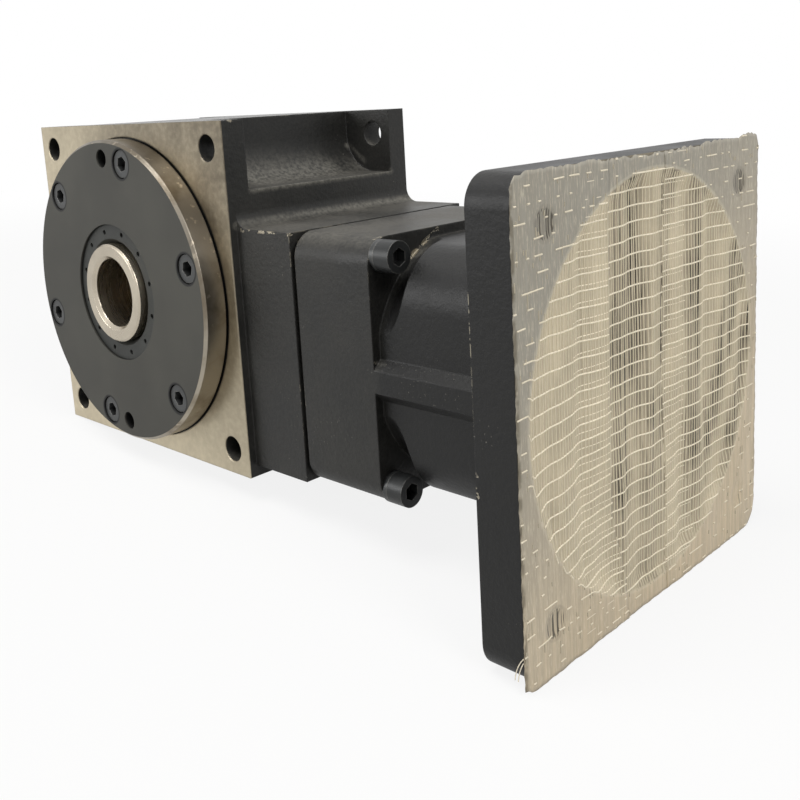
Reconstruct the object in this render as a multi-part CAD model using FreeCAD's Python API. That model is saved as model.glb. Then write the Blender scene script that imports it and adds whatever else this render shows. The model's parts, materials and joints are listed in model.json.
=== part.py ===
import FreeCAD, Part
import math
import os

# A right angle servo gearbox in millimetres, +Z up. The hollow output shaft turns about Y and faces -Y.
# The motor comes in along X, on an axis behind the front face and below the output axis.
# The origin is where the output axis meets the machined front face of the housing.

V = FreeCAD.Vector
CENTRE = V(0, 0, 0)
AXIS = V(0, 0, 1)

# Clearances
FIT = 0.03
RUN = 0.15
SEAL_LIP = 0.10
SIDE_GAP = 1.0
HOLE_ROOM = 0.15
GEAR_PLAY = 0.20
MESH_PLAY = 0.35

# Proportions shared by all screws, seals and taper bearings
HEAD_SHARE = 0.8
SOCKET_SHARE = 0.8
SOCKET_FLOOR = 0.45
SEAL_CASE = 1.6
SEAL_WEB = 2.2
ROLLER_TILT = math.radians(12.0)
ROLLER_TAPER = math.radians(2.0)
ROLLER_SHARE = 0.215
ROLLER_ENDS = 5.0
RIB_SHARE = 0.45
CAGE_HALF = 0.6
CAGE_RIM = 1.0

# Housing
FLANGE_RIM = 5.0
FRONT_FLANGE = 9.0
REAR_FLANGE = 8.0
MOUNT_INSET = 8.7348
MOUNT_HOLE = 9.0
NOTCH = 23.0
NOTCH_RADIUS = 14.0
ROOT_FILLET = 5.0
INPUT_OFFSET = 15.5
BOSS_SIDE = 81.0
CUP_SHOULDER = 3.0
SHOULDER_STEP = 3.5

# Output cover
PILOT_LAND = 6.8
PILOT_HEIGHT = 9.0
PILOT_CHAMFER = 1.0
COVER_SEAT = 1.0
COVER_ROOM = 0.5
PILOT_UNDERCUT = 1.5
PILOT_RELIEF = 0.6
SPIGOT_WALL = 8.0
COVER_SCREW = 6.0
COVER_SCREW_LAND = 6.2
COVER_SCREW_COUNT = 6
COVER_SCREW_FIRST = 15.0
COVER_SCREW_GRIP = 13.0
JACK_HOLE = 6.5
JACK_HOLE_INSET = 6.5
O_RING = 2.0
O_RING_GROOVE = 1.3 * O_RING

# Output shaft, its bearings and seals
SHAFT_BORE = 25.0
JOURNAL_STEP = 2.0
BODY_STEP = 2.0
SHAFT_PROUD = 1.5
COLLAR_WIDTH = 4.8519
SHAFT_CHAMFER = 1.2
COLLAR_LAND = 4.5
OUT_BEARING_BORE = 40.0
OUT_BEARING_OUTER = 68.0
OUT_BEARING_WIDTH = 13.0
OUT_ROLLER_COUNT = 16
SEAL_OUTER = 50.0
SEAL_WIDTH = 7.0
SEAL_SETBACK = 1.0
SEAL_DIMPLE_COUNT = 12
SEAL_DIMPLE = 1.8
SEAL_DIMPLE_INSET = 2.7
SEAL_DIMPLE_FIRST = 13.0
REAR_COVER_LAND = 6.0
REAR_SCREW = 5.0
REAR_SCREW_LAND = 7.0
REAR_SCREW_COUNT = 6
REAR_SCREW_GRIP = 10.0
SHIM = 0.5

# Hypoid pair
WHEEL_TEETH = 36
PINION_TEETH = 12
WHEEL_HUB_WALL = 7.0
TOOTH_FACE = 12.0
WHEEL_SPIRAL = 18.0
PRESSURE_ANGLE = 20.0
TIP_SHARE = 0.90
ROOT_SHARE = 1.15
SCAN_SHARE = 1.5
WHEEL_RIM = 4.0
WHEEL_HUB = 7.0
WHEEL_ROOM = 3.0
WHEEL_SCREW = 3.0
WHEEL_SCREW_COUNT = 8
WHEEL_SECTION_COUNT = 4
WHEEL_SCREW_GRIP = 3.5
PINION_SECTION_COUNT = 6
FLANK_LEVELS = (0.04, 0.2, 0.45, 0.7, 0.9)
ROLL_DIRECTION_COUNT = 72
ROLL_STEP_COUNT = 90
ROLL_REACH = math.radians(68.0)
ROLL_DEPTH = 0.1

# Pinion shaft and its bearings
PINION_WALL = 2.0
PINION_ROOM = 1.65
PIN_BEARING_BORE = 25.0
PIN_BEARING_OUTER = 47.0
PIN_BEARING_WIDTH = 15.0
PIN_ROLLER_COUNT = 13
CUP_SPACER = 8.0
SPACER_WALL = 2.5
LOCK_NUT = 5.5
LOCK_NUT_DIAMETER = 36.0
NUT_STEP = 0.5
NUT_SLOT = 5.0
NUT_SLOT_DEPTH = 2.0
NUT_SLOT_COUNT = 4
SHOULDER_RISE = 3.5
PINION_END = 19.0
RETAINER_NOSE = 4.8
RETAINER_PLATE = 2.0
RETAINER_RECESS = 2.0
RETAINER_ROOM = 1.8
RETAINER_RIM = 6.0
RIM_WALL = 3.5

# Planetary stage
GEAR_MODULE = 1.0
GEAR_ROOT = 1.25
FLANK_STEP_COUNT = 3
SUN_TEETH = 18
PLANET_TEETH = 18
PLANET_COUNT = 3
PLANET_WIDTH = 12.0
PLANET_BORE = 11.0
PLANET_PIN = 7.0
RING_WALL = 5.75
RING_WIDTH = 14.0
RING_PIN = 4.0
RING_PIN_COUNT = 3
CARRIER_RIM = 3.5
CARRIER_PLATE = 4.5
CARRIER_FRONT = 3.0
CARRIER_POST = 8.5
CARRIER_POST_INSET = 5.0

# Input bell
BLOCK_CORNER = 8.0
BELL_BLOCK = 32.0
BELL_LENGTH = 87.0
BODY_WALL = 5.5
BELL_CORNER = 17.5
BELL_RIB = 6.8
BELL_RIB_DROP = 1.4
NECK_WALL = 7.5
BELL_FLARE = 9.0
BELL_WALL = 7.0
CHAMBER_ROOM = 2.0
BELL_SCREW = 6.0
BELL_SCREW_INSET = 5.3
BELL_SCREW_GRIP = 14.0
WASHER = 1.6
NECK_STRAIGHT = 2.0

# Input hub, its bearing and seal
IN_BEARING_BORE = 35.0
IN_BEARING_OUTER = 55.0
IN_BEARING_WIDTH = 10.0
IN_BALL = 5.6
IN_BALL_COUNT = 9
RETAINING_RING = 1.5
RETAINING_DEPTH = 1.4
RETAINING_MOUTH = 6.0
IN_SEAL_WIDTH = 7.0
HUB_DIAMETER = 40.0
HUB_BORE = 24.0
HUB_BORE_DEPTH = 42.0
HUB_SETBACK = 3.0
HUB_SLIT = 2.0
CLAMP_WALL = 10.0
CLAMP_WIDTH = 18.0
CLAMP_SETBACK = 5.0
CLAMP_SLIT = 3.0
CLAMP_SCREW = 5.0
CLAMP_SCREW_LIFT = 4.0
CLAMP_SCREW_SEAT = 7.0
PLUG_DIAMETER = 11.0
PLUG_HEAD = 14.0
PLUG_HEAD_HEIGHT = 2.5
PLUG_SINK = 3.5

# Motor adapter plate
PLATE_RIM = 4.0
PLATE_CORNER = 8.0
PLATE_THICKNESS = 13.0
MOTOR_PILOT = 116.0
MOTOR_PILOT_DEPTH = 4.0
MOTOR_HOLE = 8.5
MOTOR_HOLE_INSET = 12.5
PLATE_SCREW = 5.0
PLATE_SCREW_LAND = 6.5
PLATE_SCREW_COUNT = 4
PLATE_SCREW_GRIP = 8.0

# Sizes across the output axis, each from the piece inside it
SHAFT_JOURNAL = OUT_BEARING_BORE - 2 * JOURNAL_STEP
SHAFT_BODY = OUT_BEARING_BORE + 2 * BODY_STEP
SPIGOT_DIAMETER = OUT_BEARING_OUTER + 2 * SPIGOT_WALL
COVER_SCREW_CIRCLE = SPIGOT_DIAMETER + 2 * COVER_SCREW_LAND
PILOT_DIAMETER = COVER_SCREW_CIRCLE + 2 * PILOT_LAND
JACK_HOLE_CIRCLE = PILOT_DIAMETER - 2 * JACK_HOLE_INSET
FLANGE_SIDE = PILOT_DIAMETER + 2 * FLANGE_RIM
MOUNT_SPACING = FLANGE_SIDE - 2 * MOUNT_INSET
SEAL_DIMPLE_CIRCLE = SEAL_OUTER - 2 * SEAL_DIMPLE_INSET
REAR_SCREW_CIRCLE = OUT_BEARING_OUTER + 2 * REAR_SCREW_LAND
REAR_COVER_DIAMETER = REAR_SCREW_CIRCLE + 2 * REAR_COVER_LAND
REAR_COVER = SEAL_WIDTH

# Hypoid geometry: both tooth systems taper to the point of the output axis level with the input axis
SPIRAL = math.radians(WHEEL_SPIRAL)
PRESSURE = math.radians(PRESSURE_ANGLE)
WHEEL_INNER = SHAFT_BODY / 2 + WHEEL_HUB_WALL
WHEEL_MEAN = WHEEL_INNER + TOOTH_FACE / 2
WHEEL_OUTER = WHEEL_INNER + TOOTH_FACE
WHEEL_SCREW_CIRCLE = SHAFT_BODY / 2 + WHEEL_INNER
COLLAR_DIAMETER = WHEEL_SCREW_CIRCLE + 2 * COLLAR_LAND
OFFSET_ANGLE = math.asin(INPUT_OFFSET / WHEEL_MEAN)
PINION_SPIRAL = SPIRAL + OFFSET_ANGLE
GEAR_RATIO = PINION_TEETH / WHEEL_TEETH
PINION_MEAN = WHEEL_MEAN * GEAR_RATIO * math.cos(SPIRAL) / math.cos(PINION_SPIRAL)
TOOTH_MODULE = 2 * WHEEL_MEAN / WHEEL_TEETH * math.cos(SPIRAL)
ADDENDUM = TIP_SHARE * TOOTH_MODULE
DEDENDUM = ROOT_SHARE * TOOTH_MODULE
PITCH_SLOPE = PINION_MEAN / WHEEL_MEAN
TIP_SLOPE = (PINION_MEAN - ADDENDUM) / WHEEL_MEAN
ROOT_SLOPE = (PINION_MEAN + DEDENDUM) / WHEEL_MEAN
WHEEL_PITCH = 2 * math.pi / WHEEL_TEETH
PINION_PITCH = 2 * math.pi / PINION_TEETH
PINION_HEAD = (PINION_MEAN + ADDENDUM) * WHEEL_OUTER / WHEEL_MEAN
CAVITY_RADIUS = WHEEL_OUTER + WHEEL_ROOM

# Places along the output axis, measured from the front face
FRONT_BEARING = COVER_SEAT
FRONT_BEARING_END = FRONT_BEARING + OUT_BEARING_WIDTH
WHEEL_BACK = FRONT_BEARING_END + COLLAR_WIDTH
INPUT_DEPTH = WHEEL_BACK + WHEEL_RIM + WHEEL_OUTER * ROOT_SLOPE
INPUT_Z = -INPUT_OFFSET
HOUSING_DEPTH = INPUT_DEPTH + BOSS_SIDE / 2
REAR_COVER_START = HOUSING_DEPTH - REAR_COVER
REAR_BEARING_END = REAR_COVER_START - SHIM
REAR_BEARING = REAR_BEARING_END - OUT_BEARING_WIDTH
SHAFT_FRONT = -PILOT_HEIGHT - SHAFT_PROUD
SHAFT_REAR = HOUSING_DEPTH + SHAFT_PROUD
CAVITY_END = REAR_BEARING - CUP_SHOULDER
SPIGOT_END = FRONT_BEARING_END + SIDE_GAP / 2

# Sizes across the input axis
PLANET_RADIUS = GEAR_MODULE * (SUN_TEETH + PLANET_TEETH) / 2
RING_TEETH = SUN_TEETH + 2 * PLANET_TEETH
RING_OUTER = GEAR_MODULE * (RING_TEETH + 2 * GEAR_ROOT) + 2 * RING_WALL
CARRIER_DIAMETER = 2 * PLANET_RADIUS + PLANET_PIN + 2 * CARRIER_RIM
CARRIER_POST_CIRCLE = CARRIER_DIAMETER - 2 * CARRIER_POST_INSET
BELL_SCREW_SPACING = BOSS_SIDE - 2 * BELL_SCREW_INSET
RETAINER_CIRCLE = BELL_SCREW_SPACING * math.sqrt(2) - BELL_SCREW - 2 * RETAINER_ROOM
CLAMP_OUTER = HUB_DIAMETER + 2 * CLAMP_WALL
CLAMP_SCREW_OFFSET = HUB_DIAMETER / 2 + CLAMP_SCREW_LIFT
BELL_CHAMBER = CLAMP_OUTER + 2 * CHAMBER_ROOM
BELL_NECK = BELL_CHAMBER + 2 * NECK_WALL
BELL_BODY = BELL_CHAMBER + 2 * BODY_WALL
PLUG_SEAT = BELL_BODY / 2 - PLUG_SINK
PLATE_SIDE = MOTOR_PILOT + 2 * PLATE_RIM
MOTOR_HOLE_SPACING = PLATE_SIDE - 2 * MOTOR_HOLE_INSET
PLATE_SCREW_CIRCLE = BELL_CHAMBER + 2 * PLATE_SCREW_LAND

# Places along the input axis, measured from the output axis
TEETH_START = math.sqrt(WHEEL_INNER ** 2 - INPUT_OFFSET ** 2)
TEETH_END = math.sqrt(WHEEL_OUTER ** 2 - INPUT_OFFSET ** 2)
INNER_BEARING = math.sqrt(CAVITY_RADIUS ** 2 - INPUT_OFFSET ** 2) + PINION_WALL
INNER_BEARING_END = INNER_BEARING + PIN_BEARING_WIDTH
OUTER_BEARING = INNER_BEARING_END + CUP_SPACER
OUTER_BEARING_END = OUTER_BEARING + PIN_BEARING_WIDTH
BOSS_FACE = OUTER_BEARING_END + RETAINER_NOSE
BELL_START = BOSS_FACE + RETAINER_PLATE
SCREW_SEAT = BELL_START + BELL_BLOCK
BELL_END = BELL_START + BELL_LENGTH
PLATE_FACE = BELL_END + PLATE_THICKNESS
RING_START = BELL_START + RETAINER_RIM
RING_END = RING_START + RING_WIDTH
CARRIER_START = BELL_START + SIDE_GAP
PLANET_START = CARRIER_START + CARRIER_PLATE + SIDE_GAP
PLANET_END = PLANET_START + PLANET_WIDTH
CARRIER_END = PLANET_END + SIDE_GAP + CARRIER_FRONT
WALL_START = CARRIER_END + SIDE_GAP
IN_BEARING = WALL_START + BELL_WALL
IN_BEARING_END = IN_BEARING + IN_BEARING_WIDTH
IN_SEAL = IN_BEARING_END + RETAINING_RING + FIT
CHAMBER_START = IN_SEAL + IN_SEAL_WIDTH
HUB_END = BELL_END - HUB_SETBACK
CLAMP_START = HUB_END - CLAMP_SETBACK - CLAMP_WIDTH


def outline(start, *steps):
    """Closed face through lines to single points and arcs through pairs of points."""
    edges = []
    here = start
    for step in steps + (start,):
        if isinstance(step, tuple):
            edges.append(Part.Arc(here, step[0], step[1]).toShape())
            here = step[1]
        else:
            edges.append(Part.LineSegment(here, step).toShape())
            here = step
    return Part.Face(Part.Wire(edges))


def turned(profile):
    """Solid of revolution about the local axis through (along, radius) corners."""
    points = [V(radius, 0, along) for along, radius in profile]
    return Part.Face(Part.makePolygon(points + points[:1])).revolve(CENTRE, AXIS, 360)


def ring(start, end, inner, outer):
    return turned([(start, inner), (end, inner), (end, outer), (start, outer)])


def drum(start, end, radius, x=0.0, y=0.0):
    return Part.makeCylinder(radius, end - start, V(x, y, start))


def around(shape, count, first=0.0):
    """Copies of a shape spaced evenly about the local axis, the first at an angle in degrees."""
    copies = []
    for index in range(count):
        copy = shape.copy()
        copy.rotate(CENTRE, AXIS, first + index * 360.0 / count)
        copies.append(copy)
    return copies


def at_corners(shape, spacing):
    """Copies of a shape at the four corners of a square about the local axis."""
    copies = []
    for x in (-spacing / 2, spacing / 2):
        for y in (-spacing / 2, spacing / 2):
            copies.append(shape.translated(V(x, y, 0)))
    return copies


def rounded_square(side, radius, start, end):
    box = Part.makeBox(side, side, end - start, V(-side / 2, -side / 2, start))
    uprights = [edge for edge in box.Edges if abs(edge.tangentAt(edge.FirstParameter).z) > 0.5]
    return box.makeFillet(radius, uprights)


def carried(shape, origin, direction):
    """Carry a shape built about the local axis to an axis through origin."""
    placed = shape.copy()
    move = FreeCAD.Placement(origin, FreeCAD.Rotation(AXIS, direction))
    placed.Placement = move.multiply(placed.Placement)
    return placed


def on_output(shape):
    """Carry a shape to the output axis, local +Z to the rear."""
    return carried(shape, CENTRE, V(0, 1, 0))


def on_input(shape):
    """Carry a shape to the input axis, local +Z towards the motor."""
    return carried(shape, V(0, INPUT_DEPTH, INPUT_Z), V(1, 0, 0))


def facing_back(shape, place):
    """Turn a shape end for end, so that its local +Z points down from a place on the axis."""
    copy = shape.copy()
    copy.rotate(CENTRE, V(1, 0, 0), 180)
    copy.translate(V(0, 0, place))
    return copy


def head_radius(size):
    return HEAD_SHARE * size


def hexagon(across, start, end):
    corners = []
    for index in range(7):
        angle = index * math.pi / 3
        reach = across / 2 / math.cos(math.pi / 6)
        corners.append(V(reach * math.cos(angle), reach * math.sin(angle), start))
    return Part.Face(Part.makePolygon(corners)).extrude(V(0, 0, end - start))


def cap_screw(size, grip):
    """Socket head screw with its head's underside at local zero and its shank along -Z."""
    head = drum(0, size, head_radius(size))
    shank = drum(-grip, 0, size / 2)
    socket = hexagon(SOCKET_SHARE * size, SOCKET_FLOOR * size, size)
    return head.fuse(shank).removeSplitter().cut(socket)


def screw_hole(size, grip):
    return drum(-grip - SIDE_GAP, 0, size / 2 + HOLE_ROOM)


def counterbore(size, height):
    return drum(0, height, head_radius(size) + 2 * HOLE_ROOM)


def oil_seal(outer, shaft, width):
    """Lip seal with its closed face at local zero and its lip towards +Z."""
    lip = shaft + SEAL_LIP
    lip_end = width - SEAL_CASE
    rim = outer - FIT
    sleeve = outer - SEAL_CASE
    back = lip + SEAL_CASE
    return turned([(0, rim), (width, rim), (width, sleeve), (SEAL_WEB, sleeve), (SEAL_WEB, back),
                   (lip_end, back), (lip_end, lip), (SEAL_WEB, lip), (0, back)])


def taper_bearing(bore, outer, width, count):
    """Taper roller bearing with its small end at local zero: cup, cone, rollers and cage."""
    middle = (bore + outer) / 2
    body = ROLLER_SHARE * (outer - bore)
    length = width - ROLLER_ENDS
    small = body - length / 2 * math.tan(ROLLER_TAPER)
    large = body + length / 2 * math.tan(ROLLER_TAPER)

    def place(along, above):
        """Section point from distances along and square to a roller's axis."""
        return (width / 2 + along * math.cos(ROLLER_TILT) - above * math.sin(ROLLER_TILT),
                middle + along * math.sin(ROLLER_TILT) + above * math.cos(ROLLER_TILT))

    def race(at, side):
        """Radius of a race where it crosses a place along the bearing."""
        near = place(0, side * (body + RUN))
        return near[1] + (at - near[0]) * math.tan(ROLLER_TILT + side * ROLLER_TAPER)

    cup = turned([(0, race(0, 1)), (width, race(width, 1)), (width, outer - FIT), (0, outer - FIT)])
    back = place(length / 2, -large)[0] + 2 * RUN
    front = place(-length / 2, small)[0] - 2 * RUN
    rib = RIB_SHARE * body
    cone = turned([(0, bore + FIT), (width, bore + FIT), (width, race(back, -1) + rib),
                   (back, race(back, -1) + rib), (back, race(back, -1)), (front, race(front, -1)),
                   (front, race(front, -1) + rib / 2), (0, race(front, -1) + rib / 2)])
    roller = Part.makeCone(small, large, length, V(0, 0, -length / 2))
    reach = length / 2 + CAGE_RIM
    shell = turned([place(-reach, -CAGE_HALF), place(reach, -CAGE_HALF), place(reach, CAGE_HALF),
                    place(-reach, CAGE_HALF)])
    room = large + RUN
    window = Part.makeBox(2 * large, 2 * room, length + 2 * RUN, V(-large, -room, -length / 2 - RUN))
    for shape in (roller, window):
        shape.rotate(CENTRE, V(0, 1, 0), math.degrees(ROLLER_TILT))
        shape.translate(V(middle, 0, width / 2))
    return {"cup": cup, "cone": cone, "rollers": Part.makeCompound(around(roller, count)),
            "cage": shell.cut(Part.makeCompound(around(window, count)))}


def ball_bearing():
    """Deep groove ball bearing of the input hub, starting at local zero."""
    inner = IN_BEARING_BORE / 2
    outer = IN_BEARING_OUTER / 2
    middle = (inner + outer) / 2
    groove = Part.makeTorus(middle, IN_BALL / 2 + RUN, V(0, 0, IN_BEARING_WIDTH / 2))
    land = IN_BALL / 4
    inner_ring = ring(0, IN_BEARING_WIDTH, inner + FIT, middle - land).cut(groove)
    outer_ring = ring(0, IN_BEARING_WIDTH, middle + land, outer - FIT).cut(groove)
    ball = Part.makeSphere(IN_BALL / 2, V(middle, 0, IN_BEARING_WIDTH / 2))
    return inner_ring, outer_ring, Part.makeCompound(around(ball, IN_BALL_COUNT))


def involute(angle):
    return math.tan(angle) - angle


def gear_face(teeth, tip, root, loss):
    """Face bounded by involute teeth, the first about local X, each flank moved back by a loss."""
    pitch = GEAR_MODULE * teeth / 2
    base = pitch * math.cos(PRESSURE)
    half = math.pi / 2 / teeth + involute(PRESSURE) - loss / pitch

    def flank_point(radius, turn, side):
        angle = turn + side * (half - involute(math.acos(min(1.0, base / radius))))
        return V(radius * math.cos(angle), radius * math.sin(angle), 0)

    start = max(root, base)
    radii = [start + (tip - start) * step / FLANK_STEP_COUNT for step in range(FLANK_STEP_COUNT + 1)]
    edges = []
    corner = None
    for index in range(teeth):
        turn = index * 2 * math.pi / teeth
        rise = [flank_point(radius, turn, -1) for radius in radii]
        fall = [flank_point(radius, turn, 1) for radius in reversed(radii)]
        foot = [rise[0] * (root / start), fall[-1] * (root / start)]
        if corner is None:
            first = foot[0]
        else:
            edges.append(Part.LineSegment(corner, foot[0]).toShape())
        for flank, low, high in ((rise, foot[0], rise[0]), (fall, fall[-1], foot[1])):
            curve = Part.BSplineCurve()
            curve.interpolate(flank)
            stem = [Part.LineSegment(low, high).toShape()] if start > root else []
            edges += stem + [curve.toShape()] if flank is rise else [curve.toShape()] + stem
            if flank is rise:
                edges.append(Part.LineSegment(rise[-1], fall[0]).toShape())
        corner = foot[1]
    edges.append(Part.LineSegment(corner, first).toShape())
    return Part.Face(Part.Wire(edges))


def gear(teeth, start, end):
    pitch = GEAR_MODULE * teeth / 2
    face = gear_face(teeth, pitch + GEAR_MODULE, pitch - GEAR_ROOT * GEAR_MODULE, GEAR_PLAY / 2)
    return face.translated(V(0, 0, start)).extrude(V(0, 0, end - start))


def tooth_half_angle(slope):
    """Half the angle that a crown wheel tooth fills about the output axis, where its depth has a slope."""
    middle = WHEEL_PITCH / 4 - GEAR_PLAY / 2 / WHEEL_MEAN
    return middle + (slope - PITCH_SLOPE) * math.tan(PRESSURE) / math.cos(SPIRAL)


def tooth_trace(radius):
    """Angle of a crown wheel tooth about the output axis, a logarithmic spiral."""
    return -math.tan(SPIRAL) * math.log(radius / WHEEL_MEAN)


def ruled_faces(outlines):
    """Faces between point outlines of equal count, each side of one ruled to the same side of the next."""
    faces = []
    for near, far in zip(outlines, outlines[1:]):
        for index in range(len(near)):
            lower = Part.LineSegment(near[index - 1], near[index]).toShape()
            upper = Part.LineSegment(far[index - 1], far[index]).toShape()
            faces.append(Part.makeRuledSurface(lower, upper))
    return faces


def closed_solid(faces):
    shell = Part.Shell(faces)
    shell.sewShape()
    solid = Part.Solid(shell)
    if solid.Volume < 0:
        solid.reverse()
    return solid


def closed_wire(points):
    return Part.makePolygon(points + points[:1])


def wheel_outline(radius):
    """Points over the crown wheel's teeth at one radius: the root, tip, tip and root of each."""
    points = []
    for index in range(WHEEL_TEETH):
        middle = tooth_trace(radius) + index * WHEEL_PITCH
        for slope, side in ((ROOT_SLOPE, -1), (TIP_SLOPE, -1), (TIP_SLOPE, 1), (ROOT_SLOPE, 1)):
            angle = middle + side * tooth_half_angle(slope)
            height = INPUT_DEPTH - radius * slope
            points.append(V(radius * math.cos(angle), height, radius * math.sin(angle)))
    return points


def crown_wheel():
    """Spiral toothed crown wheel, bolted to the collar of the output shaft."""
    outlines = []
    for index in range(WHEEL_SECTION_COUNT):
        outlines.append(wheel_outline(WHEEL_INNER + index * TOOTH_FACE / (WHEEL_SECTION_COUNT - 1)))
    inner_foot = [V(point.x, WHEEL_BACK, point.z) for point in outlines[0]]
    outer_foot = [V(point.x, WHEEL_BACK, point.z) for point in outlines[-1]]
    back = Part.Face([closed_wire(outer_foot), closed_wire(inner_foot[::-1])])
    teeth = closed_solid(ruled_faces([inner_foot] + outlines + [outer_foot]) + [back])
    hub_face = WHEEL_BACK + WHEEL_HUB
    hub = ring(WHEEL_BACK, hub_face, SHAFT_BODY / 2 + FIT, WHEEL_INNER + SIDE_GAP)
    hole = screw_hole(WHEEL_SCREW, WHEEL_HUB).fuse(counterbore(WHEEL_SCREW, WHEEL_HUB))
    hole.translate(V(WHEEL_SCREW_CIRCLE / 2, 0, hub_face - WHEEL_SCREW))
    holes = around(hole, WHEEL_SCREW_COUNT)
    return on_output(hub.cut(holes)).fuse(teeth).removeSplitter()


def wheel_covers(x, y, z, turn):
    """Whether the crown wheel, grown by the mesh play and turned about +Y, covers a point."""
    radius = math.hypot(x, z)
    if not WHEEL_INNER - SIDE_GAP < radius < WHEEL_OUTER + SIDE_GAP:
        return False
    slope = (INPUT_DEPTH - y) / radius
    play = MESH_PLAY / radius
    if slope < TIP_SLOPE - play:
        return False
    if slope > ROOT_SLOPE - play:
        return True
    lead = math.atan2(z, x) - tooth_trace(radius) + turn
    lead -= WHEEL_PITCH * round(lead / WHEEL_PITCH)
    return abs(lead) < tooth_half_angle(slope) + play


def pinion_limits(x, low, high):
    """Largest clear radii of the pinion over one pitch in a plane across its axis.

    The pinion is rolled past the crown wheel, and each direction keeps what the wheel's teeth never cover.
    """
    limits = []
    for index in range(ROLL_DIRECTION_COUNT):
        limit = high
        own = index * PINION_PITCH / ROLL_DIRECTION_COUNT
        for step in range(-ROLL_STEP_COUNT, ROLL_STEP_COUNT + 1):
            angle = step * ROLL_REACH / ROLL_STEP_COUNT
            turn = (angle - own) * GEAR_RATIO
            radius = low
            while radius < limit:
                y = INPUT_DEPTH - radius * math.cos(angle)
                z = INPUT_Z - radius * math.sin(angle)
                if wheel_covers(x, y, z, turn):
                    limit = max(low, radius - ROLL_DEPTH)
                radius += ROLL_DEPTH
        limits.append(limit)
    return limits


def space_middle(limits):
    """Angle of the middle of the tooth space in a list of radii over one pitch."""
    top = max(limits)
    across = 0.0
    up = 0.0
    for index, limit in enumerate(limits):
        angle = index * 2 * math.pi / len(limits)
        across += (top - limit) * math.cos(angle)
        up += (top - limit) * math.sin(angle)
    return math.atan2(up, across) / PINION_TEETH


def tooth_peak(limits, tooth):
    """Place in the list of the highest radius of the tooth nearest an angle."""
    count = len(limits)
    nearest = round(tooth * count / PINION_PITCH)
    highest = []
    for index in range(nearest - count // 2, nearest + count // 2):
        if limits[index % count] > max(limits) - ROLL_DEPTH:
            highest.append(index)
    return highest[len(highest) // 2]


def flank_angle(limits, peak, radius, side):
    """Angle where one flank of the tooth with a given peak falls below a radius."""
    count = len(limits)
    step = 0
    while step < count // 2 and limits[(peak + side * (step + 1)) % count] >= radius:
        step += 1
    return (peak + side * max(step, 0.5)) * PINION_PITCH / count


def pinion_outline(x, limits, middle):
    """Closed outline of all pinion teeth in a plane across its axis, from the middle of one tooth space."""
    low = min(limits)
    depth = max(limits) - low
    peak = tooth_peak(limits, middle + PINION_PITCH / 2)
    rise = []
    fall = []
    for level in FLANK_LEVELS:
        radius = low + level * depth
        seat = low if level == FLANK_LEVELS[0] else radius
        rise.append((seat, flank_angle(limits, peak, radius, -1)))
        fall.insert(0, (seat, flank_angle(limits, peak, radius, 1)))
    points = []
    for index in range(PINION_TEETH):
        for radius, angle in rise + fall:
            turn = angle + index * PINION_PITCH
            points.append(V(x, INPUT_DEPTH - radius * math.cos(turn), INPUT_Z - radius * math.sin(turn)))
    return points


def pinion_teeth():
    """Spiral pinion teeth, ruled through outlines that clear the rolling crown wheel."""
    sections = []
    middle = None
    step = (TEETH_END - TEETH_START) / (PINION_SECTION_COUNT - 1)
    for index in range(PINION_SECTION_COUNT):
        x = TEETH_START + index * step
        scale = math.hypot(x, INPUT_OFFSET) / WHEEL_MEAN
        lowest = PINION_MEAN - SCAN_SHARE * TOOTH_MODULE
        limits = pinion_limits(x, scale * lowest, scale * (PINION_MEAN + ADDENDUM))
        found = space_middle(limits)
        if middle is not None:
            lean = SPIRAL + math.asin(INPUT_OFFSET / math.hypot(x, INPUT_OFFSET))
            ahead = middle + step * math.tan(lean) / (scale * PINION_MEAN)
            found += PINION_PITCH * round((ahead - found) / PINION_PITCH)
        middle = found
        sections.append(pinion_outline(x, limits, middle))
    ends = [Part.Face(closed_wire(sections[0])), Part.Face(closed_wire(sections[-1]))]
    return closed_solid(ruled_faces(sections) + ends)


def pinion():
    """Pinion with its bearing seats, lock nut thread and the end that drives the carrier backwards."""
    scale = math.hypot(TEETH_END, INPUT_OFFSET) / WHEEL_MEAN
    shoulder = PIN_BEARING_BORE / 2 + SHOULDER_RISE
    seat = PIN_BEARING_BORE / 2
    nut_thread = seat - NUT_STEP
    nut_end = OUTER_BEARING_END + LOCK_NUT
    end = CARRIER_START + CARRIER_PLATE
    head = scale * (PINION_MEAN - DEDENDUM)
    start = TEETH_END - SIDE_GAP / 2
    stem = turned([(start, 0), (start, head - SIDE_GAP), (TEETH_END, head),
                   (INNER_BEARING - SIDE_GAP, shoulder), (INNER_BEARING, shoulder), (INNER_BEARING, seat),
                   (OUTER_BEARING_END, seat), (OUTER_BEARING_END, nut_thread),
                   (nut_end, nut_thread), (nut_end, PINION_END / 2), (end, PINION_END / 2), (end, 0)])
    return pinion_teeth().fuse(on_input(stem)).removeSplitter()


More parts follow.
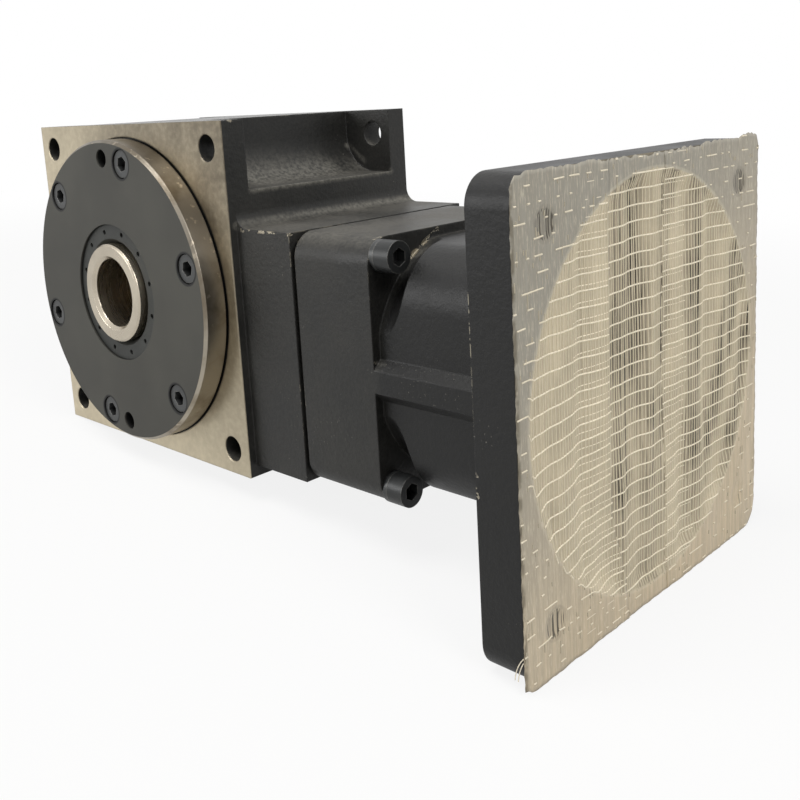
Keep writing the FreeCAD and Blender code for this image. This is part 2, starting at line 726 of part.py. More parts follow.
def output_shaft():
    """Hollow output shaft: seal journals, bearing seats and the collar for the crown wheel."""
    bore = SHAFT_BORE / 2
    journal = SHAFT_JOURNAL / 2
    seat = OUT_BEARING_BORE / 2
    body = SHAFT_BODY / 2
    collar = COLLAR_DIAMETER / 2
    edge = SHAFT_CHAMFER
    rim = SHAFT_CHAMFER / 2
    shaft = turned([(SHAFT_FRONT, bore + edge), (SHAFT_FRONT, journal - rim), (SHAFT_FRONT + rim, journal),
                    (FRONT_BEARING, journal), (FRONT_BEARING, seat), (FRONT_BEARING_END, seat),
                    (FRONT_BEARING_END, collar), (WHEEL_BACK, collar), (WHEEL_BACK, body),
                    (REAR_BEARING, body), (REAR_BEARING, seat), (REAR_BEARING_END, seat),
                    (REAR_BEARING_END, journal),
                    (SHAFT_REAR - rim, journal), (SHAFT_REAR, journal - rim), (SHAFT_REAR, bore + edge),
                    (SHAFT_REAR - edge, bore), (SHAFT_FRONT + edge, bore)])
    hole = drum(FRONT_BEARING_END, WHEEL_BACK, WHEEL_SCREW / 2 + HOLE_ROOM, WHEEL_SCREW_CIRCLE / 2)
    return on_output(shaft.cut(Part.makeCompound(around(hole, WHEEL_SCREW_COUNT))))


def wheel_screws():
    grip = WHEEL_HUB - WHEEL_SCREW + WHEEL_SCREW_GRIP
    screw = cap_screw(WHEEL_SCREW, grip)
    screw.translate(V(WHEEL_SCREW_CIRCLE / 2, 0, WHEEL_BACK + WHEEL_HUB - WHEEL_SCREW))
    return on_output(Part.makeCompound(around(screw, WHEEL_SCREW_COUNT)))


def corner_notch(x_side, z_side):
    """Cutter for the wrench room between the flanges at one corner, with a rounded inner corner."""
    wall = FLANGE_SIDE / 2 - NOTCH
    bend = wall + NOTCH_RADIUS
    mid = bend - NOTCH_RADIUS * math.sqrt(0.5)
    far = FLANGE_SIDE

    def at(x, z):
        return V(x_side * x, FRONT_FLANGE, z_side * z)

    face = outline(at(far, wall), at(bend, wall), (at(mid, mid), at(wall, bend)), at(wall, far), at(far, far))
    return face.extrude(V(0, HOUSING_DEPTH - FRONT_FLANGE - REAR_FLANGE, 0))


def cover_screw_places(shape):
    """Copies of a shape on the output cover's screw circle; its angles run from +X towards +Z."""
    return Part.makeCompound(around(shape.translated(V(COVER_SCREW_CIRCLE / 2, 0, 0)), COVER_SCREW_COUNT,
                                    -COVER_SCREW_FIRST))


def bell_screw_places(shape):
    return Part.makeCompound(at_corners(shape, BELL_SCREW_SPACING))


def housing():
    """Cast housing: flanged block with three corner notches, input boss and bored inside."""
    half = FLANGE_SIDE / 2
    wall = half - FLANGE_RIM
    block = Part.makeBox(FLANGE_SIDE, HOUSING_DEPTH, FLANGE_SIDE, V(-half, 0, -half))
    block = block.cut([corner_notch(1, 1), corner_notch(-1, 1), corner_notch(-1, -1)])
    boss_top = INPUT_Z + BOSS_SIDE / 2
    boss = Part.makeBox(BOSS_FACE - wall, BOSS_SIDE, BOSS_SIDE,
                        V(wall, INPUT_DEPTH - BOSS_SIDE / 2, INPUT_Z - BOSS_SIDE / 2))
    bend = ROOT_FILLET * (1 - math.sqrt(0.5))
    side = INPUT_DEPTH - BOSS_SIDE / 2
    fillet = outline(V(half, side, boss_top), V(half + ROOT_FILLET, side, boss_top),
                     (V(half + bend, side, boss_top + bend), V(half, side, boss_top + ROOT_FILLET)))
    body = block.fuse([boss, fillet.extrude(V(0, BOSS_SIDE, 0))]).removeSplitter()

    spigot = SPIGOT_DIAMETER / 2
    recess = PILOT_DIAMETER / 2 + COVER_ROOM
    cup = OUT_BEARING_OUTER / 2
    shoulder = cup - SHOULDER_STEP
    inside = turned([(0, 0), (0, recess), (COVER_SEAT, recess), (COVER_SEAT, spigot), (SPIGOT_END, spigot),
                     (SPIGOT_END, CAVITY_RADIUS), (CAVITY_END, CAVITY_RADIUS), (CAVITY_END, shoulder),
                     (REAR_BEARING, shoulder), (REAR_BEARING, cup), (REAR_BEARING_END, cup),
                     (REAR_BEARING_END, REAR_COVER_DIAMETER / 2), (HOUSING_DEPTH, REAR_COVER_DIAMETER / 2),
                     (HOUSING_DEPTH, 0)])
    pin_cup = PIN_BEARING_OUTER / 2
    pinion_room = PINION_HEAD + PINION_ROOM
    pinion_bore = turned([(TEETH_START - SIDE_GAP, 0), (TEETH_START - SIDE_GAP, pinion_room),
                          (INNER_BEARING, pinion_room), (INNER_BEARING, pin_cup), (BOSS_FACE, pin_cup),
                          (BOSS_FACE, 0)])
    mount_holes = at_corners(drum(0, HOUSING_DEPTH, MOUNT_HOLE / 2), MOUNT_SPACING)
    cover_hole_end = COVER_SEAT + COVER_SCREW_GRIP + SIDE_GAP
    cover_holes = cover_screw_places(drum(0, cover_hole_end, COVER_SCREW / 2 + HOLE_ROOM))
    rear_hole_start = REAR_BEARING_END - REAR_SCREW_GRIP - SIDE_GAP
    rear_hole = drum(rear_hole_start, HOUSING_DEPTH, REAR_SCREW / 2 + HOLE_ROOM, REAR_SCREW_CIRCLE / 2)
    rear_holes = around(rear_hole, REAR_SCREW_COUNT)
    bell_holes = bell_screw_places(drum(BOSS_FACE - BELL_SCREW_GRIP - SIDE_GAP, BOSS_FACE,
                                        BELL_SCREW / 2 + HOLE_ROOM))
    cuts = [on_output(shape) for shape in [inside, cover_holes] + mount_holes + rear_holes]
    return body.cut(cuts + [on_input(pinion_bore), on_input(bell_holes)])


def output_cover():
    """Round output cover: pilot disc with sunk screws, seal seat and the front bearing's spigot."""
    pilot = PILOT_DIAMETER / 2
    seal = SEAL_OUTER / 2
    cup = OUT_BEARING_OUTER / 2
    spigot = SPIGOT_DIAMETER / 2 - FIT
    groove = spigot - O_RING - FIT
    groove_start = COVER_SEAT + O_RING
    lip_start = -PILOT_HEIGHT + SEAL_SETBACK + SEAL_WIDTH
    face = -PILOT_HEIGHT
    cover = turned([(face, seal), (face, pilot - PILOT_CHAMFER), (face + PILOT_CHAMFER, pilot),
                    (-PILOT_RELIEF, pilot), (-PILOT_RELIEF, pilot - PILOT_UNDERCUT),
                    (COVER_SEAT, pilot - PILOT_UNDERCUT),
                    (COVER_SEAT, spigot), (groove_start, spigot), (groove_start, groove),
                    (groove_start + O_RING_GROOVE, groove), (groove_start + O_RING_GROOVE, spigot),
                    (FRONT_BEARING_END, spigot), (FRONT_BEARING_END, cup), (FRONT_BEARING, cup),
                    (FRONT_BEARING, cup - SHOULDER_STEP), (lip_start, cup - SHOULDER_STEP),
                    (lip_start, seal)])
    head_seat = -PILOT_HEIGHT + COVER_SCREW + SIDE_GAP / 2
    hole = drum(head_seat, COVER_SEAT, COVER_SCREW / 2 + HOLE_ROOM)
    sunk = counterbore(COVER_SCREW, PILOT_HEIGHT).translated(V(0, 0, head_seat - PILOT_HEIGHT))
    jack = drum(-PILOT_HEIGHT, COVER_SEAT, JACK_HOLE / 2, JACK_HOLE_CIRCLE / 2)
    return on_output(cover.cut([cover_screw_places(hole.fuse(sunk))] + around(jack, 2, 90)))


def cover_screws():
    head_seat = -PILOT_HEIGHT + COVER_SCREW + SIDE_GAP / 2
    screw = facing_back(cap_screw(COVER_SCREW, COVER_SEAT - head_seat + COVER_SCREW_GRIP), head_seat)
    return on_output(cover_screw_places(screw))


def cover_o_ring():
    middle = SPIGOT_DIAMETER / 2 - FIT - O_RING / 2
    place = COVER_SEAT + O_RING + O_RING_GROOVE / 2
    return on_output(Part.makeTorus(middle, O_RING / 2, V(0, 0, place)))


def output_seal():
    """Output lip seal with the ring of moulded dimples in its face."""
    seal = oil_seal(SEAL_OUTER / 2, SHAFT_JOURNAL / 2, SEAL_WIDTH)
    dimple = drum(0, SEAL_DIMPLE / 2, SEAL_DIMPLE / 2, SEAL_DIMPLE_CIRCLE / 2)
    seal = seal.cut(around(dimple, SEAL_DIMPLE_COUNT, -SEAL_DIMPLE_FIRST))
    return on_output(seal.translated(V(0, 0, -PILOT_HEIGHT + SEAL_SETBACK)))


def rear_cover():
    """Flush rear cover with sunk screws and the rear seal's seat; its shim sets the bearings."""
    outer = REAR_COVER_DIAMETER / 2 - FIT
    cup = OUT_BEARING_OUTER / 2
    seal = SEAL_OUTER / 2
    nose = cup - SHOULDER_STEP
    seal_end = HOUSING_DEPTH - SEAL_WIDTH + RUN
    cover = turned([(REAR_BEARING_END, nose), (REAR_BEARING_END, cup - FIT), (REAR_COVER_START, cup - FIT),
                    (REAR_COVER_START, outer), (HOUSING_DEPTH, outer), (HOUSING_DEPTH, seal),
                    (seal_end, seal), (seal_end, nose)])
    hole = drum(REAR_COVER_START, HOUSING_DEPTH, REAR_SCREW / 2 + HOLE_ROOM)
    sunk = counterbore(REAR_SCREW, REAR_SCREW).translated(V(0, 0, HOUSING_DEPTH - REAR_SCREW))
    hole = hole.fuse(sunk).translated(V(REAR_SCREW_CIRCLE / 2, 0, 0))
    return on_output(cover.cut(around(hole, REAR_SCREW_COUNT)))


def rear_shim():
    hole = drum(REAR_BEARING_END, REAR_COVER_START, REAR_SCREW / 2 + HOLE_ROOM, REAR_SCREW_CIRCLE / 2)
    shim = ring(REAR_BEARING_END, REAR_COVER_START, OUT_BEARING_OUTER / 2, REAR_COVER_DIAMETER / 2 - FIT)
    return on_output(shim.cut(around(hole, REAR_SCREW_COUNT)))


def rear_cover_screws():
    head_seat = HOUSING_DEPTH - REAR_SCREW
    screw = cap_screw(REAR_SCREW, head_seat - REAR_BEARING_END + REAR_SCREW_GRIP)
    screw.translate(V(REAR_SCREW_CIRCLE / 2, 0, head_seat))
    return on_output(Part.makeCompound(around(screw, REAR_SCREW_COUNT)))


def rear_seal():
    seal = oil_seal(SEAL_OUTER / 2, SHAFT_JOURNAL / 2, SEAL_WIDTH - RUN)
    return on_output(facing_back(seal, HOUSING_DEPTH))


def bearing_retainer():
    """Square plate in the joint: its nose holds the outer pinion cup and its rim centres the bell."""
    side = BOSS_SIDE - 2 * RETAINER_RECESS
    plate = rounded_square(side, BLOCK_CORNER, BOSS_FACE, BELL_START).common(drum(BOSS_FACE, BELL_START,
                                                                                  RETAINER_CIRCLE / 2))
    cup = PIN_BEARING_OUTER / 2
    hole = cup - SHOULDER_STEP / 2
    nose = ring(OUTER_BEARING_END, BOSS_FACE, hole, cup - FIT)
    rim_outer = RING_OUTER / 2 - FIT
    rim = ring(BELL_START, RING_START, rim_outer - RIM_WALL, rim_outer)
    body = plate.fuse([nose, rim]).removeSplitter()
    return on_input(body.cut(drum(OUTER_BEARING_END, BELL_START, hole)))


def pinion_spacers():
    """Distance sleeves between the two pinion bearings: one for the cups, one for the cones."""
    cup = PIN_BEARING_OUTER / 2 - FIT
    cone = PIN_BEARING_BORE / 2 + FIT
    outer = ring(INNER_BEARING_END, OUTER_BEARING, cup - SPACER_WALL, cup)
    inner = ring(INNER_BEARING_END, OUTER_BEARING, cone, cone + SPACER_WALL)
    return on_input(outer), on_input(inner)


def lock_nut():
    """Slotted lock nut on the pinion's thread."""
    thread = PIN_BEARING_BORE / 2 - NUT_STEP + FIT
    nut = ring(OUTER_BEARING_END, OUTER_BEARING_END + LOCK_NUT, thread, LOCK_NUT_DIAMETER / 2)
    slot = Part.makeBox(2 * NUT_SLOT_DEPTH, NUT_SLOT, LOCK_NUT,
                        V(LOCK_NUT_DIAMETER / 2 - NUT_SLOT_DEPTH, -NUT_SLOT / 2, OUTER_BEARING_END))
    return on_input(nut.cut(around(slot, NUT_SLOT_COUNT)))


def planet_carrier():
    """Planet carrier: two discs joined by posts between the planets, keyed on the pinion's end."""
    back_end = CARRIER_START + CARRIER_PLATE
    front = PLANET_END + SIDE_GAP
    radius = CARRIER_DIAMETER / 2
    back_disc = ring(CARRIER_START, back_end, PINION_END / 2 + FIT, radius)
    sun_hole = GEAR_MODULE * (SUN_TEETH / 2 + 1) + SIDE_GAP
    front_disc = ring(front, CARRIER_END, sun_hole, radius)
    posts = around(drum(back_end, front, CARRIER_POST / 2, CARRIER_POST_CIRCLE / 2), PLANET_COUNT,
                   180.0 / PLANET_COUNT)
    pins = around(drum(CARRIER_START, CARRIER_END, PLANET_PIN / 2 + FIT, PLANET_RADIUS), PLANET_COUNT)
    return on_input(back_disc.fuse([front_disc] + posts).removeSplitter().cut(pins))


def planet_pins():
    pin = drum(CARRIER_START, CARRIER_END, PLANET_PIN / 2, PLANET_RADIUS)
    return on_input(Part.makeCompound(around(pin, PLANET_COUNT)))


def planet(index):
    """One planet gear and its bronze bush, the gear with a tooth space towards the sun."""
    wheel = gear(PLANET_TEETH, PLANET_START, PLANET_END)
    wheel.rotate(CENTRE, AXIS, 180.0 / PLANET_TEETH)
    wheel = wheel.cut(drum(PLANET_START, PLANET_END, PLANET_BORE / 2))
    bush = ring(PLANET_START, PLANET_END, PLANET_PIN / 2 + RUN, PLANET_BORE / 2 - FIT)
    placed = []
    for shape in (wheel, bush):
        moved = shape.translated(V(PLANET_RADIUS, 0, 0))
        moved.rotate(CENTRE, AXIS, index * 360.0 / PLANET_COUNT)
        placed.append(on_input(moved))
    return placed


def ring_pin_places(shape):
    return around(shape.translated(V(RING_OUTER / 2, 0, 0)), RING_PIN_COUNT, 180.0 / RING_PIN_COUNT)


def ring_gear():
    """Fixed ring gear with a tooth towards each planet, held by pins half sunk in its rim."""
    pitch = GEAR_MODULE * RING_TEETH / 2
    root = pitch + GEAR_ROOT * GEAR_MODULE
    hole = gear_face(RING_TEETH, root, pitch - GEAR_MODULE, -GEAR_PLAY / 2)
    hollow = hole.translated(V(0, 0, RING_START)).extrude(V(0, 0, RING_WIDTH))
    hollow.rotate(CENTRE, AXIS, 180.0 / RING_TEETH)
    body = drum(RING_START, RING_END, RING_OUTER / 2 - FIT)
    return on_input(body.cut([hollow] + ring_pin_places(drum(RING_START, RING_END, RING_PIN / 2 + FIT))))


def ring_gear_pins():
    return on_input(Part.makeCompound(ring_pin_places(drum(RING_START, RING_END, RING_PIN / 2))))


def bell_rib(side):
    """Rib along one side of the bell, flush with the screw block and with sloping flanks."""
    half = BELL_RIB / 2
    slope = (BOSS_SIDE - BELL_BODY) / 2 + SIDE_GAP
    crest = side * BOSS_SIDE / 2
    foot = crest - side * slope
    face = outline(V(BELL_RIB_DROP - half, crest, SCREW_SEAT), V(BELL_RIB_DROP + half, crest, SCREW_SEAT),
                   V(BELL_RIB_DROP + half + slope, foot, SCREW_SEAT),
                   V(BELL_RIB_DROP - half - slope, foot, SCREW_SEAT))
    return face.extrude(V(0, 0, BELL_END - SCREW_SEAT))


def bell():
    """Input bell: square screw block, turned neck for the screw heads, ribbed body up to the plate."""
    block = rounded_square(BOSS_SIDE, BLOCK_CORNER, BELL_START, SCREW_SEAT)
    neck = BELL_NECK / 2
    start = SCREW_SEAT + NECK_STRAIGHT
    wide = BELL_BODY
    bend = BELL_FLARE * math.sqrt(0.5)
    flare_end = start + BELL_FLARE
    turn = outline(V(0, 0, SCREW_SEAT), V(neck, 0, SCREW_SEAT), V(neck, 0, start),
                   (V(neck + BELL_FLARE - bend, 0, start + bend), V(neck + BELL_FLARE, 0, flare_end)),
                   V(wide, 0, flare_end), V(wide, 0, BELL_END), V(0, 0, BELL_END))
    flare = turn.revolve(CENTRE, AXIS, 360)
    body = rounded_square(BELL_BODY, BELL_CORNER, SCREW_SEAT, BELL_END).common(flare)

    gear_bore = RING_OUTER / 2
    step = gear_bore - RIM_WALL
    cup = IN_BEARING_OUTER / 2
    shoulder = cup - SHOULDER_STEP
    groove = cup + RETAINING_DEPTH / 2
    chamber = BELL_CHAMBER / 2
    hollow = turned([(BELL_START, 0), (BELL_START, gear_bore), (RING_END, gear_bore), (RING_END, step),
                     (WALL_START, step), (WALL_START, shoulder), (IN_BEARING, shoulder), (IN_BEARING, cup),
                     (IN_BEARING_END, cup), (IN_BEARING_END, groove), (IN_SEAL, groove), (IN_SEAL, cup),
                     (CHAMBER_START, cup), (CHAMBER_START, chamber), (BELL_END, chamber), (BELL_END, 0)])
    screw_holes = bell_screw_places(drum(BELL_START, SCREW_SEAT, BELL_SCREW / 2 + HOLE_ROOM))
    plate_holes = plate_screw_places(drum(BELL_END - PLATE_SCREW_GRIP - SIDE_GAP, BELL_END,
                                          PLATE_SCREW / 2 + HOLE_ROOM))
    head_room = bell_screw_places(drum(SCREW_SEAT, SCREW_SEAT + WASHER + BELL_SCREW + RUN,
                                       head_radius(BELL_SCREW) + 2 * RUN))
    pin_holes = ring_pin_places(drum(RING_START, RING_END, RING_PIN / 2 + FIT))
    cuts = [hollow, screw_holes, head_room, plate_holes] + pin_holes
    access = drum(0, PLUG_SEAT, PLUG_DIAMETER / 2).fuse(drum(PLUG_SEAT, BELL_BODY, PLUG_HEAD / 2 + FIT))
    casting = block.fuse([body, bell_rib(-1), bell_rib(1)]).removeSplitter()
    return on_input(casting.cut(cuts)).cut(beside_clamp_screw(access))


def beside_clamp_screw(shape):
    """Carry a shape to the clamp screw's axis, local +Z to the rear."""
    origin = V(CLAMP_START + CLAMP_WIDTH / 2, INPUT_DEPTH, INPUT_Z - CLAMP_SCREW_OFFSET)
    return carried(shape, origin, V(0, 1, 0))


def access_plug():
    """Plug of the hole through which the clamp screw is tightened."""
    chamber = math.sqrt((BELL_CHAMBER / 2) ** 2 - (CLAMP_SCREW_OFFSET - PLUG_DIAMETER / 2) ** 2)
    stem = drum(chamber, PLUG_SEAT, PLUG_DIAMETER / 2 - FIT)
    head = drum(PLUG_SEAT, PLUG_SEAT + PLUG_HEAD_HEIGHT, PLUG_HEAD / 2)
    return beside_clamp_screw(stem.fuse(head).removeSplitter())


def bell_screws():
    grip = SCREW_SEAT + WASHER - BOSS_FACE + BELL_SCREW_GRIP
    screw = cap_screw(BELL_SCREW, grip).translated(V(0, 0, SCREW_SEAT + WASHER))
    return on_input(bell_screw_places(screw))


def bell_washers():
    washer = ring(SCREW_SEAT, SCREW_SEAT + WASHER, BELL_SCREW / 2 + HOLE_ROOM, head_radius(BELL_SCREW))
    return on_input(bell_screw_places(washer))


def input_hub():
    """Input hub: sun gear, bearing seat, seal journal and the slit bore for the motor's shaft."""
    seat = IN_BEARING_BORE / 2
    root = GEAR_MODULE * (SUN_TEETH / 2 - GEAR_ROOT)
    journal = HUB_DIAMETER / 2
    snap_start = IN_BEARING - RETAINING_RING
    snap = seat - RETAINING_DEPTH
    wall = IN_BEARING_OUTER / 2 - SHOULDER_STEP
    stem = turned([(PLANET_END, 0), (PLANET_END, root), (CARRIER_END + SIDE_GAP, root),
                   (snap_start - SIDE_GAP, min(seat, wall) - SIDE_GAP), (snap_start, seat - SIDE_GAP / 2),
                   (snap_start, snap), (IN_BEARING, snap), (IN_BEARING, seat), (IN_BEARING_END, seat),
                   (IN_BEARING_END, journal), (HUB_END, journal), (HUB_END, 0)])
    bore = drum(HUB_END - HUB_BORE_DEPTH, HUB_END, HUB_BORE / 2)
    slit = Part.makeBox(HUB_DIAMETER, HUB_SLIT, HUB_END - CHAMBER_START,
                        V(0, -HUB_SLIT / 2, CHAMBER_START + SIDE_GAP))
    sun = gear(SUN_TEETH, PLANET_START, PLANET_END)
    return on_input(sun.fuse(stem).removeSplitter().cut([bore, slit]))


def hub_snap_ring():
    """Open retaining ring in the hub's groove, before the input bearing."""
    seat = IN_BEARING_BORE / 2
    start = IN_BEARING - RETAINING_RING + FIT
    snap = ring(start, IN_BEARING, seat - RETAINING_DEPTH + FIT, seat + RETAINING_DEPTH)
    mouth = Part.makeBox(IN_BEARING_BORE, RETAINING_MOUTH, IN_BEARING_WIDTH,
                         V(0, -RETAINING_MOUTH / 2, IN_BEARING - RETAINING_RING))
    return on_input(snap.cut(mouth))


def bell_snap_ring():
    """Open retaining ring in the bell's groove, behind the input bearing."""
    cup = IN_BEARING_OUTER / 2
    groove = cup + RETAINING_DEPTH / 2 - FIT
    snap = ring(IN_BEARING_END, IN_BEARING_END + RETAINING_RING, cup - RETAINING_DEPTH, groove)
    mouth = Part.makeBox(IN_BEARING_OUTER, RETAINING_MOUTH, IN_BEARING_WIDTH,
                         V(0, -RETAINING_MOUTH / 2, IN_BEARING_END))
    return on_input(snap.cut(mouth))


def input_seal():
    seal = oil_seal(IN_BEARING_OUTER / 2, HUB_DIAMETER / 2, IN_SEAL_WIDTH)
    return on_input(facing_back(seal, CHAMBER_START))


def clamp_ring():
    """Split ring that squeezes the hub on the motor's shaft, with a sunk screw across its slit."""
    body = ring(CLAMP_START, CLAMP_START + CLAMP_WIDTH, HUB_DIAMETER / 2 + FIT, CLAMP_OUTER / 2)
    slit = Part.makeBox(CLAMP_OUTER, CLAMP_SLIT, CLAMP_WIDTH, V(0, -CLAMP_SLIT / 2, CLAMP_START))
    screw = drum(-CLAMP_OUTER, CLAMP_OUTER, CLAMP_SCREW / 2 + HOLE_ROOM)
    seat = drum(CLAMP_SCREW_SEAT, CLAMP_OUTER, head_radius(CLAMP_SCREW) + 2 * HOLE_ROOM)
    return on_input(body.cut(slit)).cut(beside_clamp_screw(screw.fuse(seat)))


def clamp_screw():
    tail = math.sqrt((CLAMP_OUTER / 2) ** 2 - (CLAMP_SCREW_OFFSET + CLAMP_SCREW / 2) ** 2)
    screw = cap_screw(CLAMP_SCREW, CLAMP_SCREW_SEAT + tail).translated(V(0, 0, CLAMP_SCREW_SEAT))
    return beside_clamp_screw(screw)


def plate_screw_places(shape):
    return Part.makeCompound(around(shape.translated(V(PLATE_SCREW_CIRCLE / 2, 0, 0)), PLATE_SCREW_COUNT,
                                    180.0 / PLATE_SCREW_COUNT))


def adapter_plate():
    """Motor adapter plate with a pilot recess, motor holes and sunk screws."""
    floor = PLATE_FACE - MOTOR_PILOT_DEPTH
    plate = rounded_square(PLATE_SIDE, PLATE_CORNER, BELL_END, PLATE_FACE)
    recess = drum(floor, PLATE_FACE, MOTOR_PILOT / 2)
    through = drum(BELL_END, PLATE_FACE, BELL_CHAMBER / 2)
    motor_hole = drum(BELL_END, PLATE_FACE, MOTOR_HOLE / 2)
    head_seat = floor - PLATE_SCREW
    sunk = drum(BELL_END, head_seat, PLATE_SCREW / 2 + HOLE_ROOM).fuse(
        counterbore(PLATE_SCREW, PLATE_SCREW).translated(V(0, 0, head_seat)))
    cuts = [recess, through, plate_screw_places(sunk)] + at_corners(motor_hole, MOTOR_HOLE_SPACING)
    return on_input(plate.cut(cuts))


def plate_screws():
    head_seat = PLATE_FACE - MOTOR_PILOT_DEPTH - PLATE_SCREW
    screw = cap_screw(PLATE_SCREW, head_seat - BELL_END + PLATE_SCREW_GRIP).translated(V(0, 0, head_seat))
    return on_input(plate_screw_places(screw))


def save(name, shape):
    shape.exportStep("parts/" + name + ".step")


def save_bearing(name, pieces, carry, start, end, large_end_first):
    """Save the four pieces of a taper bearing between two places on an axis."""
    for piece, shape in pieces.items():
        placed = facing_back(shape, end) if large_end_first else shape.translated(V(0, 0, start))
        save(name + "_" + piece, carry(placed))


def main():
    os.makedirs("parts", exist_ok=True)
    save("housing", housing())
    save("output_cover", output_cover())
    save("cover_screws", cover_screws())
    save("cover_o_ring", cover_o_ring())
    save("output_seal", output_seal())
    save("rear_cover", rear_cover())
    save("rear_shim", rear_shim())
    save("rear_cover_screws", rear_cover_screws())
    save("rear_seal", rear_seal())
    save("output_shaft", output_shaft())
    save("crown_wheel", crown_wheel())
    save("wheel_screws", wheel_screws())
    large = taper_bearing(OUT_BEARING_BORE / 2, OUT_BEARING_OUTER / 2, OUT_BEARING_WIDTH, OUT_ROLLER_COUNT)
    save_bearing("front_bearing", large, on_output, FRONT_BEARING, FRONT_BEARING_END, False)
    save_bearing("rear_bearing", large, on_output, REAR_BEARING, REAR_BEARING_END, True)

    save("pinion", pinion())
    small = taper_bearing(PIN_BEARING_BORE / 2, PIN_BEARING_OUTER / 2, PIN_BEARING_WIDTH, PIN_ROLLER_COUNT)
    save_bearing("inner_pinion_bearing", small, on_input, INNER_BEARING, INNER_BEARING_END, True)
    save_bearing("outer_pinion_bearing", small, on_input, OUTER_BEARING, OUTER_BEARING_END, False)
    cup_spacer, cone_spacer = pinion_spacers()
    save("cup_spacer", cup_spacer)
    save("cone_spacer", cone_spacer)
    save("lock_nut", lock_nut())
    save("bearing_retainer", bearing_retainer())

    save("planet_carrier", planet_carrier())
    save("planet_pins", planet_pins())
    for index in range(PLANET_COUNT):
        wheel, bush = planet(index)
        save("planet_gear_%d" % (index + 1), wheel)
        save("planet_bush_%d" % (index + 1), bush)
    save("ring_gear", ring_gear())
    save("ring_gear_pins", ring_gear_pins())

    save("bell", bell())
    save("bell_screws", bell_screws())
    save("bell_washers", bell_washers())
    save("access_plug", access_plug())
    inner_ring, outer_ring, balls = ball_bearing()
    for name, shape in (("inner_ring", inner_ring), ("outer_ring", outer_ring), ("balls", balls)):
        save("input_bearing_" + name, on_input(shape.translated(V(0, 0, IN_BEARING))))
    save("input_hub", input_hub())
    save("hub_snap_ring", hub_snap_ring())
    save("bell_snap_ring", bell_snap_ring())
    save("input_seal", input_seal())
    save("clamp_ring", clamp_ring())
    save("clamp_screw", clamp_screw())
    save("adapter_plate", adapter_plate())
    save("plate_screws", plate_screws())


main()
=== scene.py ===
# %% [markdown]
# # A right angle gearbox, dressed in Blender
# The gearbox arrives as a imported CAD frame: every piece is already in place, in metres.
# Nothing is moved here. This lesson gives the metal its finishes, lays the packing tape over
# the open motor side, and sets up a camera, a floor and lamps.

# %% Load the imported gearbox
import json
import math
import random

import bmesh
import bpy
from mathutils import Matrix, Vector


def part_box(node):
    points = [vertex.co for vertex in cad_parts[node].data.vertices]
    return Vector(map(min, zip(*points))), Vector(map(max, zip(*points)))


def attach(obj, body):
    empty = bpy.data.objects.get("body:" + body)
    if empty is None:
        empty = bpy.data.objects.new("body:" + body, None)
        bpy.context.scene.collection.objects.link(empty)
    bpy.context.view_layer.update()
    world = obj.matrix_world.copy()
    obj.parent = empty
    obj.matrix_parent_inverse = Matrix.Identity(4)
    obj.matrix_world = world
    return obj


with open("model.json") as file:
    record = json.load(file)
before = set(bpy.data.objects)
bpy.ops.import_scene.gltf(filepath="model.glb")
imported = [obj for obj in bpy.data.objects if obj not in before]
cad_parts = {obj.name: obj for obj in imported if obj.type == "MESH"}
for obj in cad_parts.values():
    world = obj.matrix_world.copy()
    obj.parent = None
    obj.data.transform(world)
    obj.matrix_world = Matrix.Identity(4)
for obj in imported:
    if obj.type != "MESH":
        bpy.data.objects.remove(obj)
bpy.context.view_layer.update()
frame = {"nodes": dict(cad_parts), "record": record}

scene = bpy.context.scene
scene.view_settings.view_transform = "Standard"

# %% [markdown]
# ## The camera
# The picture was taken from close by, a little above the output disc and on the motor side, so
# the square plate looks larger than the gear case behind it. A camera is one matrix: its columns
# are the directions right, up and backwards, and then its place. The optical axis meets the
# picture above its middle, so the camera has a small vertical shift.

# %% Place the camera
SENSOR = 36.0
LENS = 44.14
AXIS_SHIFT = -0.15
NEAREST = 0.01
CAMERA_PLACE = Vector((0.31843, -0.18796, 0.06397))
CAMERA_AHEAD = Vector((-0.68573, 0.7046, -0.18252))
CAMERA_RIGHT = Vector((0.72256, 0.68919, -0.0541))

camera_data = bpy.data.cameras.new("camera")
camera_data.sensor_width = SENSOR
camera_data.lens = LENS
camera_data.shift_y = AXIS_SHIFT
camera_data.clip_start = NEAREST
camera = bpy.data.objects.new("camera", camera_data)
scene.collection.objects.link(camera)
scene.camera = camera

ahead = CAMERA_AHEAD.normalized()
right = (CAMERA_RIGHT - CAMERA_RIGHT.project(ahead)).normalized()
up = right.cross(ahead)
turn = Matrix((right, up, -ahead)).transposed()
camera.matrix_world = Matrix.Translation(CAMERA_PLACE) @ turn.to_4x4()
print("camera at", [round(v, 3) for v in camera.matrix_world.translation])

# %% [markdown]
# ## The floor
# The gearbox lies on the edge of its front flange and on the lower edge of the square plate, so the floor
# runs just under both and is a few degrees off level. It is a plain square.

# %% Set the floor under the two edges that touch it
FLOOR_REACH = 3.0
FLOOR_GAP = 0.0004
housing_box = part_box("housing")
plate_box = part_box("adapter_plate")
front_low = housing_box[0]
plate_low = plate_box[0]
floor_slope = (plate_low[2] - front_low[2]) / (plate_low[0] - front_low[0])


def floor_height(x):
    return front_low[2] - FLOOR_GAP + floor_slope * (x - front_low[0])


